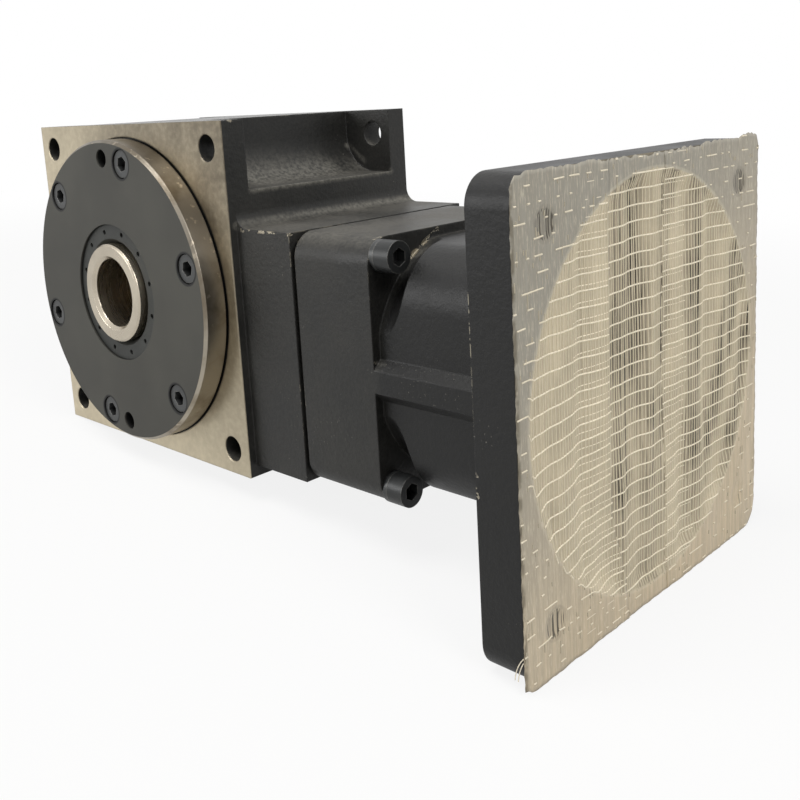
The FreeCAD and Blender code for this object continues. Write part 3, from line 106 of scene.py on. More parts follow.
floor_mesh = bpy.data.meshes.new("floor")
floor_mesh.from_pydata([(x, y, floor_height(x)) for x, y in (
    (-FLOOR_REACH, -FLOOR_REACH), (FLOOR_REACH, -FLOOR_REACH),
    (FLOOR_REACH, FLOOR_REACH), (-FLOOR_REACH, FLOOR_REACH))], [], [(0, 1, 2, 3)])
floor = bpy.data.objects.new("floor", floor_mesh)
scene.collection.objects.link(floor)
print("floor slope:", round(math.degrees(math.atan(floor_slope)), 2), "degrees")

# %% [markdown]
# ## Writing shader maths as Python
# A material is a small network. Placing each node by hand hides the idea, so one class wraps an
# output socket: sums on it add Math nodes, and its `node` method adds any other kind.


# %% A socket that can be used in sums
class Wire:
    """One output socket of a material, ready for sums."""

    def __init__(self, tree, socket):
        self.tree = tree
        self.socket = socket

    def node(self, kind, settings=None, sockets=None, out=0):
        """Add a node: its settings first, then the values or links of its sockets."""
        made = self.tree.nodes.new(kind)
        for name, value in (settings or {}).items():
            setattr(made, name, value)
        for name, value in (sockets or {}).items():
            self.feed(made.inputs[name], value)
        return Wire(self.tree, made.outputs[out])

    def feed(self, socket, value):
        """Link a wire to an input socket, or write a plain value into it."""
        if isinstance(value, Wire):
            self.tree.links.new(value.socket, socket)
        else:
            socket.default_value = value

    def maths(self, operation, first, second=0.0):
        return self.node("ShaderNodeMath", {"operation": operation}, {0: first, 1: second})

    def __add__(self, other):
        return self.maths("ADD", self, other)

    def __sub__(self, other):
        return self.maths("SUBTRACT", self, other)

    def __rsub__(self, other):
        return self.maths("SUBTRACT", other, self)

    def __mul__(self, other):
        return self.maths("MULTIPLY", self, other)

    __radd__ = __add__
    __rmul__ = __mul__

    def either(self, other):
        """The larger of two masks."""
        return self.maths("MAXIMUM", self, other)

    def apart(self, value):
        """How far this number is from a value, to either side."""
        difference = self - value
        return difference.maths("ABSOLUTE", difference)

    def fade(self, low, high):
        """A mask that goes smoothly from 0 at low to 1 at high."""
        return self.node("ShaderNodeMapRange", {"interpolation_type": "SMOOTHSTEP"},
                         {"Value": self, "From Min": low, "From Max": high})

    def between(self, first, second):
        """A number that goes from first to second as this mask goes from 0 to 1."""
        return self * (second - first) + first

    def colour(self, first, second):
        """A colour that goes from first to second as this mask goes from 0 to 1."""
        return self.node("ShaderNodeMix", {"data_type": "RGBA"}, {0: self, 6: first, 7: second}, 2)

    def axis(self, index):
        """The X, Y or Z part of a vector."""
        return self.node("ShaderNodeSeparateXYZ", None, {0: self}, index)

    def vectors(self, operation, first, second, out=0):
        return self.node("ShaderNodeVectorMath", {"operation": operation}, {0: first, 1: second}, out)

    def scaled(self, x, y, z):
        return self.vectors("MULTIPLY", self, (x, y, z))

    def moved(self, x, y, z):
        """A vector counted from another origin."""
        return self.vectors("SUBTRACT", self, (x, y, z))

    def reach(self):
        """Length of a vector."""
        return self.node("ShaderNodeVectorMath", {"operation": "LENGTH"}, {0: self}, 1)

    def noise(self, scale, detail=2.0, roughness=0.5):
        """Noise with about so many spots to the metre."""
        return self.node("ShaderNodeTexNoise", None,
                         {"Vector": self, "Scale": scale, "Detail": detail, "Roughness": roughness})

    def off_line(self, start, end):
        """Distance from the straight line between two points."""
        along = Vector(end) - Vector(start)
        here = self.moved(*start)
        share = self.vectors("DOT_PRODUCT", here, along / along.length_squared, 1)
        share = self.node("ShaderNodeClamp", None, {"Value": share})
        foot = self.node("ShaderNodeVectorMath", {"operation": "SCALE"}, {0: along, "Scale": share})
        return self.vectors("DISTANCE", here, foot, 1)

    def bump(self, height, distance, strength, normal=None):
        """A Normal from a height, over an optional Normal below it."""
        sockets = {"Height": height, "Distance": distance, "Strength": strength}
        if normal is not None:
            sockets["Normal"] = normal
        return self.node("ShaderNodeBump", None, sockets)

    def soft_edge(self, radius):
        """The Normal that the surface has with its edges rounded a little."""
        return self.node("ShaderNodeBevel", {"samples": 4}, {"Radius": radius})

    def crevice(self, distance):
        """A mask of the narrow places that light hardly reaches."""
        settings = {"samples": 6}
        return 1 - self.node("ShaderNodeAmbientOcclusion", settings, {"Distance": distance}, 1)

    def edge_wear(self, distance):
        """A mask of the corners that stick out, where rays into the metal come out again soon."""
        settings = {"inside": True, "only_local": True, "samples": 6}
        return 1 - self.node("ShaderNodeAmbientOcclusion", settings, {"Distance": distance}, 1)


# %% Colours as seen on a screen, and a new material
def srgb(red, green, blue):
    """A colour as seen on a screen, 0 to 255, in the linear values that shaders use."""
    parts = [value / 255 for value in (red, green, blue)]
    linear = [v / 12.92 if v <= 0.04045 else ((v + 0.055) / 1.055) ** 2.4 for v in parts]
    return (*linear, 1.0)


def new_finish(name):
    """A new material, its shader and the piece's own coordinates."""
    finish = bpy.data.materials.new(name)
    finish.use_nodes = True
    tree = finish.node_tree
    shader = tree.nodes["Principled BSDF"]
    place = Wire(tree, tree.nodes.new("ShaderNodeTexCoord").outputs["Object"])
    place.facing = Wire(tree, place.socket.node.outputs["Normal"])
    return finish, shader, place


print("a mid grey in linear values:", round(srgb(128, 128, 128)[0], 3))

# %% [markdown]
# ## White floor, white surroundings
# Both use Light Path. Camera rays get plain white, and on the floor a part of that white is left
# to the lamps near the gearbox, so it keeps a soft shadow under it. The world is white for
# camera, glossy and transmission rays, so metal has something to mirror, but much dimmer as fill
# light.

# %% The floor's white and its shadow
WHITE = (1.0, 1.0, 1.0, 1.0)
SHADOW_NEAR = 0.3
SHADOW_FAR = 0.75
SHADOW_WHITE = 0.86
MIRRORED_WHITE = 0.7
floor_finish, floor_shader, floor_place = new_finish("pale_floor")
floor_tree = floor_finish.node_tree
floor_shader.inputs["Base Color"].default_value = srgb(196, 196, 194)
floor_shader.inputs["Roughness"].default_value = 0.9
floor_shader.inputs["Specular IOR Level"].default_value = 0.0
floor_rays = floor_place.node("ShaderNodeLightPath")
floor_gloss = Wire(floor_tree, floor_rays.socket.node.outputs["Is Glossy Ray"])
floor_white = floor_place.node("ShaderNodeEmission", None, {"Color": WHITE, "Strength": 1.0})
floor_near = 1 - floor_place.reach().fade(SHADOW_NEAR, SHADOW_FAR)
white_share = floor_rays.either(floor_gloss * MIRRORED_WHITE) * floor_near.between(1.0, SHADOW_WHITE)
floor_mix = floor_place.node("ShaderNodeMixShader", None, {
    0: white_share, 1: Wire(floor_tree, floor_shader.outputs[0]), 2: floor_white})
floor_tree.links.new(floor_mix.socket, floor_tree.nodes["Material Output"].inputs["Surface"])
floor_mesh.materials.append(floor_finish)
print("white share of the floor under the gearbox:", SHADOW_WHITE)

# %% The world's white and its fill light
FILL_LIGHT = 0.30
world = bpy.data.worlds.new("white_room")
scene.world = world
world.use_nodes = True
world_shader = world.node_tree.nodes["Background"]
light_path = world.node_tree.nodes.new("ShaderNodeLightPath")
seen = Wire(world.node_tree, light_path.outputs["Is Camera Ray"])
for ray in ("Is Glossy Ray", "Is Transmission Ray"):
    seen = seen.either(Wire(world.node_tree, light_path.outputs[ray]))
seen.feed(world_shader.inputs["Color"], WHITE)
seen.feed(world_shader.inputs["Strength"], seen.between(FILL_LIGHT, 1.0))
print("fill light:", FILL_LIGHT)

# %% [markdown]
# ## Three lamps
# A large disc high above does most of the modelling, one on the motor side lights the tape, and a
# weak one lifts the front flange. Their level keeps a colour about as it is written. A lamp
# shines along its own -Z axis, so each is turned until that axis meets its target.

# %% Three soft lamps
LAMPS = {
    "key_lamp": ((0.05, -0.42, 1.25), (0.06, 0.04, 0.0), 0.8, 16.0),
    "side_lamp": ((1.1, -0.2, 0.7), (0.12, 0.04, 0.0), 0.6, 9.5),
    "front_lamp": ((-0.55, -0.85, 0.3), (0.02, 0.0, 0.0), 0.5, 4.0),
}


def soft_lamp(name, place, target, size, power):
    data = bpy.data.lights.new(name, "AREA")
    data.shape = "DISK"
    data.size = size
    data.energy = power
    lamp = bpy.data.objects.new(name, data)
    lamp.location = place
    lamp.rotation_euler = (Vector(target) - Vector(place)).to_track_quat("-Z", "Y").to_euler()
    scene.collection.objects.link(lamp)


for name, settings in LAMPS.items():
    soft_lamp(name, *settings)
print("lamps:", ", ".join(LAMPS))

# %% [markdown]
# ## Painted casting
# The case, the input bell and the plate's sides wear a satin black paint that has gone slightly olive,
# over a sand casting whose grain still shows. Three things have happened to it since. Dust has settled on
# what faces up, and that pale colour is also painted top light. Paint has rubbed off outer corners: that
# mask looks into the metal from each point, and near a corner the look comes out again at once. And single
# knocks have chipped it, each marked by the line where it happened. Pale lines on the case are partly
# dusty wear and partly painted highlight on glossy lips and in the pocket. The bell's neck and the plate's
# paint are darkened as painted shade. The machined faces were masked when the case was painted, so one
# coordinate is enough to tell bare metal from paint; their colour carries a painted reflection, darker
# towards the upper corner on the motor side. The top of the case is flat and smooth under its paint, so it
# mirrors the white room at a low angle.

# %% Bare metal, and where the paint is gone
CHIP = srgb(148, 141, 126)
BARE_DARK = srgb(98, 91, 79)
BARE_LIGHT = srgb(212, 200, 174)
WEAR_DEPTH = 0.0009


def bare_colour(place):
    """Machined grey metal, faintly mottled, with a painted reflection that makes it darker towards its
    upper corner on the motor side.
    """
    clouds = place.noise(26.0, 4.0, 0.6).fade(0.3, 0.72)
    spots = place.noise(420.0, 3.0, 0.6).fade(0.35, 0.8)
    # Painted reflection: darker towards the upper corner on the motor side.
    shade = (place.axis(2) * 0.65 + place.axis(0) * 0.6).fade(-0.04, 0.065)
    tone = (1 - shade) * 0.66 + clouds * 0.21 + spots * 0.13
    return tone.colour(BARE_DARK, BARE_LIGHT)


def worn_paint(place, wear, knocks):
    """A mask of chipped paint: at corners, from the first to the second share of wear, and along
    the knocks, each a line with a width."""
    chips = place.noise(260.0, 4.0, 0.65).fade(0.44, 0.6)
    handled = place.noise(24.0, 2.0).fade(0.46, 0.62)
    worn = (place.edge_wear(WEAR_DEPTH) * (chips * 0.55 + handled * 0.45)).fade(*wear)
    for start, end, width in knocks:
        mark = 1 - place.off_line(start, end).fade(width * 0.25, width)
        worn = worn.either((mark * (chips * 0.75 + 0.25)).fade(0.42, 0.6))
    return worn


print("wear looks", WEAR_DEPTH * 1000, "mm into the metal")

# %% Black paint, worn at the corners
PAINT_DARK = srgb(22, 22, 21)
PAINT_LIGHT = srgb(39, 38, 35)
PAINT_SHADE = srgb(9, 9, 9)
PAINT_DUST_AND_TOP_LIGHT = srgb(92, 89, 82)
PAINT_RUB_AND_HIGHLIGHT = srgb(116, 113, 105)
PAINT_SPECK = srgb(140, 136, 126)
SHADE_FADE = 0.004
SMOOTH_FADE = 0.0002
GRAIN_DEPTH = 0.0004
CAST_EDGE = 0.0007


def paint_finish(name, wear, knocks, rubs_and_highlights=(), bare_mask=None, shade_from=None, smooth_from=None):
    """Black paint over a casting. Knocks show metal. The lines in rubs_and_highlights have a width too and
    turn pale: partly worn, dusty paint and partly painted highlight on glossy lips. Faces that look up
    turn pale as well, partly dusty and partly painted top light. bare_mask takes coordinates and marks the
    unpainted faces. Beyond shade_from along X the paint is darkened as painted shade; above smooth_from
    along Z it is smooth."""
    finish, shader, place = new_finish(name)
    clouds = place.noise(34.0, 5.0, 0.62).fade(0.32, 0.7)
    grain = place.noise(760.0, 4.0, 0.62)
    coarse = grain.fade(0.3, 0.7)
    # Faces that look up turn pale: partly dusty, partly painted top light.
    dust_and_top_light = place.facing.axis(2).fade(0.35, 0.95) * (coarse * 0.5 + clouds * 0.5) * 0.62
    paint = (clouds * 0.55 + grain.fade(0.25, 0.75) * 0.45).colour(PAINT_DARK, PAINT_LIGHT)
    cast = 1.0
    if smooth_from is not None:
        cast = 1 - place.axis(2).fade(smooth_from, smooth_from + SMOOTH_FADE)
        dust_and_top_light = dust_and_top_light * cast.between(0.35, 1.0)
    if shade_from is not None:
        # Painted shade: the paint darkens beyond shade_from.
        painted_shade = place.axis(0).fade(shade_from, shade_from + SHADE_FADE)
        paint = (painted_shade * 0.85).colour(paint, PAINT_SHADE)
        dust_and_top_light = dust_and_top_light * painted_shade.between(1.0, 0.1)
    paint = dust_and_top_light.colour(paint, PAINT_DUST_AND_TOP_LIGHT)
    # Painted highlight and dusty wear along each line.
    for start, end, width in rubs_and_highlights:
        rub_and_highlight = (1 - place.off_line(start, end).fade(0.0, width)) * coarse.between(0.15, 0.6)
        paint = rub_and_highlight.colour(paint, PAINT_RUB_AND_HIGHLIGHT)
    specks = place.noise(1500.0, 2.0).fade(0.69, 0.76) * place.noise(40.0, 2.0).fade(0.50, 0.66)
    paint = (specks * 0.45).colour(paint, PAINT_SPECK)

    bare = worn_paint(place, wear, knocks)
    colour = bare.colour(paint, CHIP)
    if bare_mask is not None:
        unpainted = bare_mask(place)
        bare = bare.either(unpainted)
        colour = unpainted.colour(colour, bare_colour(place))
    place.feed(shader.inputs["Base Color"], colour)
    place.feed(shader.inputs["Metallic"], bare)
    paint_rough = clouds.between(0.22, 0.34) + dust_and_top_light * 0.2 + cast * 0.18
    metal_rough = place.scaled(1, 1, 9).noise(240.0, 3.0).between(0.34, 0.46)
    place.feed(shader.inputs["Roughness"], paint_rough * (1 - bare) + metal_rough * bare)
    shader.inputs["Specular IOR Level"].default_value = 0.3
    pits = place.noise(330.0, 2.0, 0.5)
    height = (grain * 0.6 + pits * 0.4) * (1 - bare) * cast
    normal = place.bump(height, GRAIN_DEPTH, 0.55, place.soft_edge(CAST_EDGE))
    place.feed(shader.inputs["Normal"], normal)
    return finish


# %% Paint for the case, the bell and the plate
FRONT_FACE = 0.0003
CASE_TOP = housing_box[1][2] - 0.0004
PLATE_FACE = plate_box[1][0]
BELL_SHADE_FROM = 0.1195
PLATE_SHADE_FROM = 0.150
CASE_KNOCKS = (((0.061, 0.003, 0.0247), (0.079, 0.003, 0.0248), 0.0012),
               ((0.085, 0.003, 0.0246), (0.0862, 0.004, 0.0248), 0.0012),
               ((0.060, 0.0, 0.060), (0.060, 0.011, 0.060), 0.0014),
               ((0.020, 0.0005, 0.060), (0.060, 0.0005, 0.060), 0.0012))
# Pale lines on the case: partly dusty wear, partly painted highlight on the pocket's lip and floor.
CASE_RUBS_AND_HIGHLIGHTS = (((0.060, 0.010, 0.0368), (0.060, 0.076, 0.0372), 0.0018),
             ((0.060, 0.012, 0.0370), (0.060, 0.075, 0.0374), 0.0011),
             ((0.045, 0.014, 0.0425), (0.046, 0.058, 0.0425), 0.0115),
             ((0.038, 0.075, 0.047), (0.046, 0.0755, 0.041), 0.0018),
             ((0.060, 0.003, 0.026), (0.062, 0.085, 0.0265), 0.0024))
BELL_KNOCKS = (((0.1201, 0.019, 0.0165), (0.120, 0.034, 0.0243), 0.0014),
               ((0.1165, 0.0055, 0.0235), (0.1195, 0.009, 0.0247), 0.0012),
               ((0.1195, 0.0032, -0.0115), (0.123, 0.0045, -0.0115), 0.0012))
BELL_RUBS = (((0.120, 0.0045, -0.0113), (0.123, 0.0044, -0.0115), 0.0009),
             ((0.121, 0.024, 0.017), (0.150, 0.040, 0.0205), 0.004))
PLATE_KNOCKS = (((0.17498, -0.0185, -0.0255), (0.17498, -0.0185, -0.0335), 0.0016),
                ((0.17498, -0.0185, 0.021), (0.17498, -0.0185, 0.004), 0.0004))


def front_flange(place):
    return 1 - place.axis(1).fade(FRONT_FACE * 0.7, FRONT_FACE * 1.4)


def motor_face(place):
    return place.axis(0).fade(PLATE_FACE - 0.0003, PLATE_FACE - 0.0001)


case_paint = paint_finish("case_paint", (0.40, 0.55), CASE_KNOCKS, CASE_RUBS_AND_HIGHLIGHTS,
                          bare_mask=front_flange, smooth_from=CASE_TOP)
bell_paint = paint_finish("bell_paint", (0.42, 0.58), BELL_KNOCKS, BELL_RUBS, shade_from=BELL_SHADE_FROM)
plate_paint = paint_finish("plate_paint", (0.34, 0.5), PLATE_KNOCKS,
                           bare_mask=motor_face, shade_from=PLATE_SHADE_FROM)
print("paint finishes:", case_paint.name, bell_paint.name, plate_paint.name)

# %% [markdown]
# ## The output disc
# The round cover is dark grey on its face and bare on its rim, which centres the driven machine. The rim
# was turned on a lathe, so its fine lines run round the axis and the colour of old oil has settled on it
# in patches; its upper half is darker with painted shade. A radius from the axis separates face and rim.
# The pockets of the six screws and the faces sunk behind the disc's face are painted black as shade. The
# screws' places are measured on the screws themselves.

# %% Measure the disc and its screws
SCREW_COUNT = 6
HEAD_DEPTH = 0.003
cover_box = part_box("output_cover")
PILOT_RADIUS = (cover_box[1][0] - cover_box[0][0]) / 2
DISC_FACE = cover_box[0][1]
screw_points = [vertex.co for vertex in frame["nodes"]["cover_screws"].data.vertices]
head_points = [point for point in screw_points if point.y < DISC_FACE + HEAD_DEPTH]
head_reach = [math.hypot(point.x, point.z) for point in head_points]
SCREW_CIRCLE = (max(head_reach) + min(head_reach)) / 2
HEAD_RADIUS = (max(head_reach) - min(head_reach)) / 2
turns = [SCREW_COUNT * math.atan2(point.z, point.x) for point in head_points]
SCREW_FIRST = math.atan2(sum(map(math.sin, turns)), sum(map(math.cos, turns))) / SCREW_COUNT
print("pilot radius:", round(PILOT_RADIUS * 1000, 2), "mm")
print("screw circle:", round(SCREW_CIRCLE * 1000, 2), "mm")

# %% Dark face, bare turned rim
FACE_DARK = srgb(51, 50, 46)
FACE_LIGHT = srgb(68, 67, 61)
POCKET_SHADE = srgb(17, 17, 16)
RIM_STEEL = srgb(164, 156, 142)
RIM_OIL = srgb(118, 107, 90)
RIM_SHADE = srgb(78, 73, 66)
RIM_SPOT = srgb(168, 158, 141)
LATHE_DEPTH = 0.00004
DISC_EDGE = 0.0003


def off_screws(place):
    """Distance from the axis of the nearest screw of the disc."""
    nearest = None
    for index in range(SCREW_COUNT):
        angle = SCREW_FIRST + math.tau * index / SCREW_COUNT
        spot = place.moved(SCREW_CIRCLE * math.cos(angle), 0, SCREW_CIRCLE * math.sin(angle))
        off = spot.scaled(1, 0, 1).reach()
        nearest = off if nearest is None else nearest.maths("MINIMUM", nearest, off)
    return nearest


def rim_colour(place):
    """Turned steel with patches of old oil, darker in its upper half as painted shade, with small bright
    spots.
    """
    oil = place.noise(48.0, 4.0, 0.6).fade(0.40, 0.66)
    steel = oil.colour(RIM_STEEL, RIM_OIL)
    steel = (place.axis(2).fade(-0.03, 0.03) * 0.5).colour(steel, RIM_SHADE)
    return place.noise(300.0, 3.0).fade(0.62, 0.72).colour(steel, RIM_SPOT)


def cover_finish():
    finish, shader, place = new_finish("cover_grey")
    radius = place.scaled(1, 0, 1).reach()
    rim = radius.fade(PILOT_RADIUS - 0.00105, PILOT_RADIUS - 0.0009)
    # Painted shade in the sunk faces and round each screw head, where light hardly reaches.
    sunk = place.axis(1).fade(DISC_FACE + 0.0002, DISC_FACE + 0.0009) * (1 - rim)
    clouds = place.noise(30.0, 3.0).fade(0.3, 0.7)
    fine = place.noise(2200.0, 2.0)
    face = (clouds * 0.5 + fine * 0.5).colour(FACE_DARK, FACE_LIGHT)
    screw_shade = 1 - off_screws(place).fade(HEAD_RADIUS + 0.0007, HEAD_RADIUS + 0.0013)
    face = sunk.either(screw_shade).colour(face, POCKET_SHADE)
    place.feed(shader.inputs["Base Color"], rim.colour(face, rim_colour(place)))
    place.feed(shader.inputs["Metallic"], rim * 0.8 + 0.2)
    place.feed(shader.inputs["Roughness"], rim.between(0.54, 0.30) + fine * 0.08)
    shader.inputs["Specular IOR Level"].default_value = 0.3
    rings = place.scaled(0.02, 1, 0.02).noise(5200.0, 2.0)
    turned = place.bump(rings * rim + fine * 0.35, LATHE_DEPTH, 0.5, place.soft_edge(DISC_EDGE))
    place.feed(shader.inputs["Normal"], turned)
    return finish


cover_grey = cover_finish()
print("disc finish:", cover_grey.name)

# %% [markdown]
# ## Steel, bronze, rubber and plastic
# The other finishes differ in colour, roughness and the direction of their tool marks, so one
# function makes them all. Marks are noise that is stretched along the direction of the cut.

# %% One function for the plain finishes
EDGE_DEPTH = 0.0006
CREVICE_REACH = 0.0016
CREVICE_SHADE = srgb(12, 12, 12)
TURNED_EDGE = 0.00025


def machined_finish(name, dark, light, metallic, rough, marks, mark_depth, specular=0.5, edge=None):
    """A finish whose tool marks are noise stretched by the three factors in marks; edge is the colour that
    corners have rubbed to, and a finish with an edge also gets painted shade in its crevices."""
    finish, shader, place = new_finish(name)
    clouds = place.noise(45.0, 4.0, 0.6).fade(0.3, 0.7)
    cut = place.scaled(*marks).noise(900.0, 3.0, 0.6)
    colour = (clouds * 0.55 + cut * 0.45).colour(dark, light)
    if edge is not None:
        colour = place.edge_wear(EDGE_DEPTH).fade(0.3, 0.55).colour(colour, edge)
        # Painted shade in crevices that light hardly reaches.
        colour = place.crevice(CREVICE_REACH).fade(0.12, 0.5).colour(colour, CREVICE_SHADE)
    place.feed(shader.inputs["Base Color"], colour)
    place.feed(shader.inputs["Roughness"], cut.between(*rough))
    shader.inputs["Metallic"].default_value = metallic
    shader.inputs["Specular IOR Level"].default_value = specular
    normal = place.bump(cut, mark_depth, 0.6, place.soft_edge(TURNED_EDGE))
    place.feed(shader.inputs["Normal"], normal)
    return finish


# %% Make the plain finishes
EVEN = (1, 1, 1)
PLAIN_FINISHES = {
    "black_screw": (srgb(52, 53, 53), srgb(74, 75, 75), 0.55, (0.3, 0.44), EVEN, 0.00003,
                    0.5, srgb(104, 103, 99)),
    # A darker copy of the black screw: painted shade for the screws in the bell's shaded pocket.
    "shaded_screw": (srgb(34, 35, 35), srgb(52, 53, 53), 0.45, (0.32, 0.46), EVEN, 0.00003,
                    0.5, srgb(92, 91, 87)),
    "plain_steel": (srgb(172, 163, 148), srgb(202, 192, 174), 1.0, (0.2, 0.34), (0.05, 1, 0.05), 0.000008),
    "gear_steel": (srgb(138, 138, 138), srgb(172, 171, 168), 1.0, (0.24, 0.38), (1, 4, 1), 0.00002),
    "bearing_steel": (srgb(186, 188, 191), srgb(212, 213, 214), 1.0, (0.1, 0.2), EVEN, 0.00001),
    "cage_steel": (srgb(158, 148, 126), srgb(188, 178, 152), 1.0, (0.34, 0.5), EVEN, 0.00003),
    "bronze": (srgb(150, 112, 60), srgb(190, 150, 88), 1.0, (0.26, 0.4), (4, 1, 1), 0.00002),
    "black_rubber": (srgb(38, 39, 37), srgb(56, 57, 54), 0.0, (0.5, 0.68), EVEN, 0.00005, 0.3),
    "black_plastic": (srgb(24, 24, 24), srgb(36, 36, 36), 0.0, (0.38, 0.52), EVEN, 0.00004, 0.4),
}
finishes = {name: machined_finish(name, *settings) for name, settings in PLAIN_FINISHES.items()}
finishes["black_paint"] = case_paint
finishes["cover_grey"] = cover_grey
print("finishes:", ", ".join(finishes))

# %% Give every CAD node its finish
# The bell's screws get the shaded copy of the screw finish.
own_finish = {"bell": bell_paint, "adapter_plate": plate_paint, "bell_screws": finishes["shaded_screw"]}
for part in frame["record"]["subparts"]:
    piece = frame["nodes"][part["node"]]
    finish = own_finish.get(part["node"], finishes[part["material_slot"]])
    for slot in piece.material_slots:
        slot.material = finish

# %% [markdown]
# ## Packing tape over the motor side
# The open side of the bell is closed for transport with three upright strips of thread-reinforced
# tape. Each strip is a film that sticks to the bare plate, dips into the round recess and ripples
# there, because nothing holds it flat. A simulation could find some ripples, but these are known
# from the picture, so a height for every point is simpler and always comes out the same. The film
# follows the plate's lower outline with a torn edge and hangs a little over it. Its upper corners
# and the lower near one are left almost square, past the plate's rounded ones.

# %% How the film lies on the plate
PLATE_Y = (plate_box[0][1] + plate_box[1][1]) / 2
PLATE_Z = (plate_box[0][2] + plate_box[1][2]) / 2
PLATE_HALF = (plate_box[1][1] - plate_box[0][1]) / 2
RECESS_RADIUS = 0.058
BOLT_PLACE = 0.0495
FILM = 0.00012
LAYER_STEP = 1.3 * FILM
GLUE = 0.00014
SAG = 0.0009
BOLT_DIP = 0.0005
RIPPLES = ((0.0225, 0.9, 0.00055), (0.0131, 2.1, 0.0003), (0.0072, 4.0, 0.00012))


def smooth(value, low, high):
    """A share that goes smoothly from 0 at low to 1 at high."""
    share = min(1.0, max(0.0, (value - low) / (high - low)))
    return share * share * (3 - 2 * share)


def film_height(dy, dz, layer):
    """Height of the film over the plate's face, at a place counted from the plate's middle."""
    free = smooth(RECESS_RADIUS - math.hypot(dy, dz), -0.0002, 0.0045)
    height = GLUE + layer * LAYER_STEP - SAG * free
    for length, phase, depth in RIPPLES:
        sway = 0.9 * math.sin(dz * 31 + phase) + 0.5 * math.sin(dz * 67 + 2 * phase)
        height += free * depth * math.sin(math.tau * dy / length + phase + sway)
    bolt = math.hypot(abs(dy) - BOLT_PLACE, abs(dz) - BOLT_PLACE)
    return height - BOLT_DIP * (1 - smooth(bolt, 0.0022, 0.0046))


print("plate half side:", round(PLATE_HALF * 1000, 1), "mm")

# %% [markdown]
# The three films are grids whose columns run up the plate. A column knows where the plate ends,
# so the grid needs no trimming afterwards. The torn ends come from a random walk with its own
# seed, and the long edges from two small waves.

# %% Where a film ends
PLATE_CORNER = 0.008
FILM_CORNER = 0.003
OVERHANG = 0.0013
FAR_RISE = 0.0011
HANG_WIDTH = 0.011
HANG_CUT = 0.0017
HANG_CUT_WIDTH = 0.0035


def square_edge(across, corner):
    """Half height, at a place across it, of the plate's square with corners of a given radius."""
    over = abs(across) - (PLATE_HALF - corner)
    if over <= 0:
        return PLATE_HALF
    return PLATE_HALF - corner + math.sqrt(max(0.0, corner ** 2 - over ** 2))


def film_ends(dy, start, hangs):
    """Lower and upper end of a film; one that hangs keeps a square corner with its tip cut off."""
    top = square_edge(dy, FILM_CORNER) + FAR_RISE * smooth(dy, 0.01, 0.058)
    low = -square_edge(dy, PLATE_CORNER)
    if hangs and dy < start + HANG_WIDTH:
        low = -PLATE_HALF + HANG_CUT * (1 - smooth(dy - start, 0.0, HANG_CUT_WIDTH))
    return low - OVERHANG, top


print("film past the plate's lower edge:", OVERHANG * 1000, "mm")

# %% Lay the three films
FILM_CELL = 0.0011
EDGE_WAVES = ((0.00016, 310, 1), (0.00014, 1670, 2))
STRIPS = {
    "tape_near": {"start": -0.0625, "end": -0.0222, "layer": 1, "seed": 3, "drift": 0.0065, "hangs": True},
    "tape_middle": {"start": -0.038, "end": 0.0178, "layer": 0, "seed": 8, "drift": 0.006, "hangs": False},
    "tape_far": {"start": 0.0052, "end": 0.0622, "layer": 1, "seed": 21, "drift": 0.0, "hangs": False},
}


def lay_film(name, start, end, layer, seed, drift, hangs):
    """A strip of film from start to end across the plate; its lower end can drift sideways."""
    chance = random.Random(seed)
    columns = max(2, round((end - start) / FILM_CELL))
    rows = round(2 * PLATE_HALF / FILM_CELL)
    mesh = bmesh.new()
    grid = []
    tear_top = 0.0
    tear_low = 0.0
    for column in range(columns + 1):
        share = column / columns
        dy = start + (end - start) * share
        tear_top = 0.6 * tear_top + chance.uniform(-0.0005, 0.0004)
        tear_low = 0.6 * tear_low + chance.uniform(-0.0003, 0.0005)
        low, top = film_ends(dy, start, hangs)
        low += 0.4 * tear_low
        top += tear_top
        line = []
        for row in range(rows + 1):
            dz = low + (top - low) * row / rows
            side = dy + drift * share * smooth(-dz, 0.024, 0.062)
            if column in (0, columns):
                side += sum(size * math.sin(dz * rate + phase * seed) for size, rate, phase in EDGE_WAVES)
            height = film_height(side, dz, layer)
            line.append(mesh.verts.new((PLATE_FACE + height, PLATE_Y + side, PLATE_Z + dz)))
        grid.append(line)
    for near, far in zip(grid, grid[1:]):
        for row in range(rows):
            mesh.faces.new((near[row], far[row], far[row + 1], near[row + 1]))
    data = bpy.data.meshes.new(name)
    mesh.to_mesh(data)
    mesh.free()
    data.polygons.foreach_set("use_smooth", [True] * len(data.polygons))
    film = bpy.data.objects.new(name, data)
    scene.collection.objects.link(film)
    return film


films = {name: lay_film(name, **strip) for name, strip in STRIPS.items()}
for name, film in films.items():
    print(name, len(film.data.polygons), "cells")

# %% [markdown]
# ## Threads in the tape
# Glass threads run up the tape a little over a millimetre apart, and thicker white yarns cross
# them. They repeat by the hundred and follow the film, which is what Geometry Nodes are for. The
# tree makes a row of straight lines, lets them wander, drops each point along X onto the film,
# throws away what missed it or soaked into the glue, and gives the line a round section. A curve
# would close up over a missing point, so the lines are turned into mesh edges while points are
# thrown away.


# %% Nodes of a geometry tree
def tree_node(tree, kind, settings=None, sockets=None, out=0):
    """Add a node to a geometry tree, settings first, and hand back one of its outputs."""
    made = tree.nodes.new(kind)
    for name, value in (settings or {}).items():
        setattr(made, name, value)
    for name, value in (sockets or {}).items():
        if isinstance(value, bpy.types.NodeSocket):
            tree.links.new(value, made.inputs[name])
        else:
            made.inputs[name].default_value = value
    return made.outputs[out]


def tree_maths(tree, operation, first, second):
    return tree_node(tree, "ShaderNodeMath", {"operation": operation}, {0: first, 1: second})


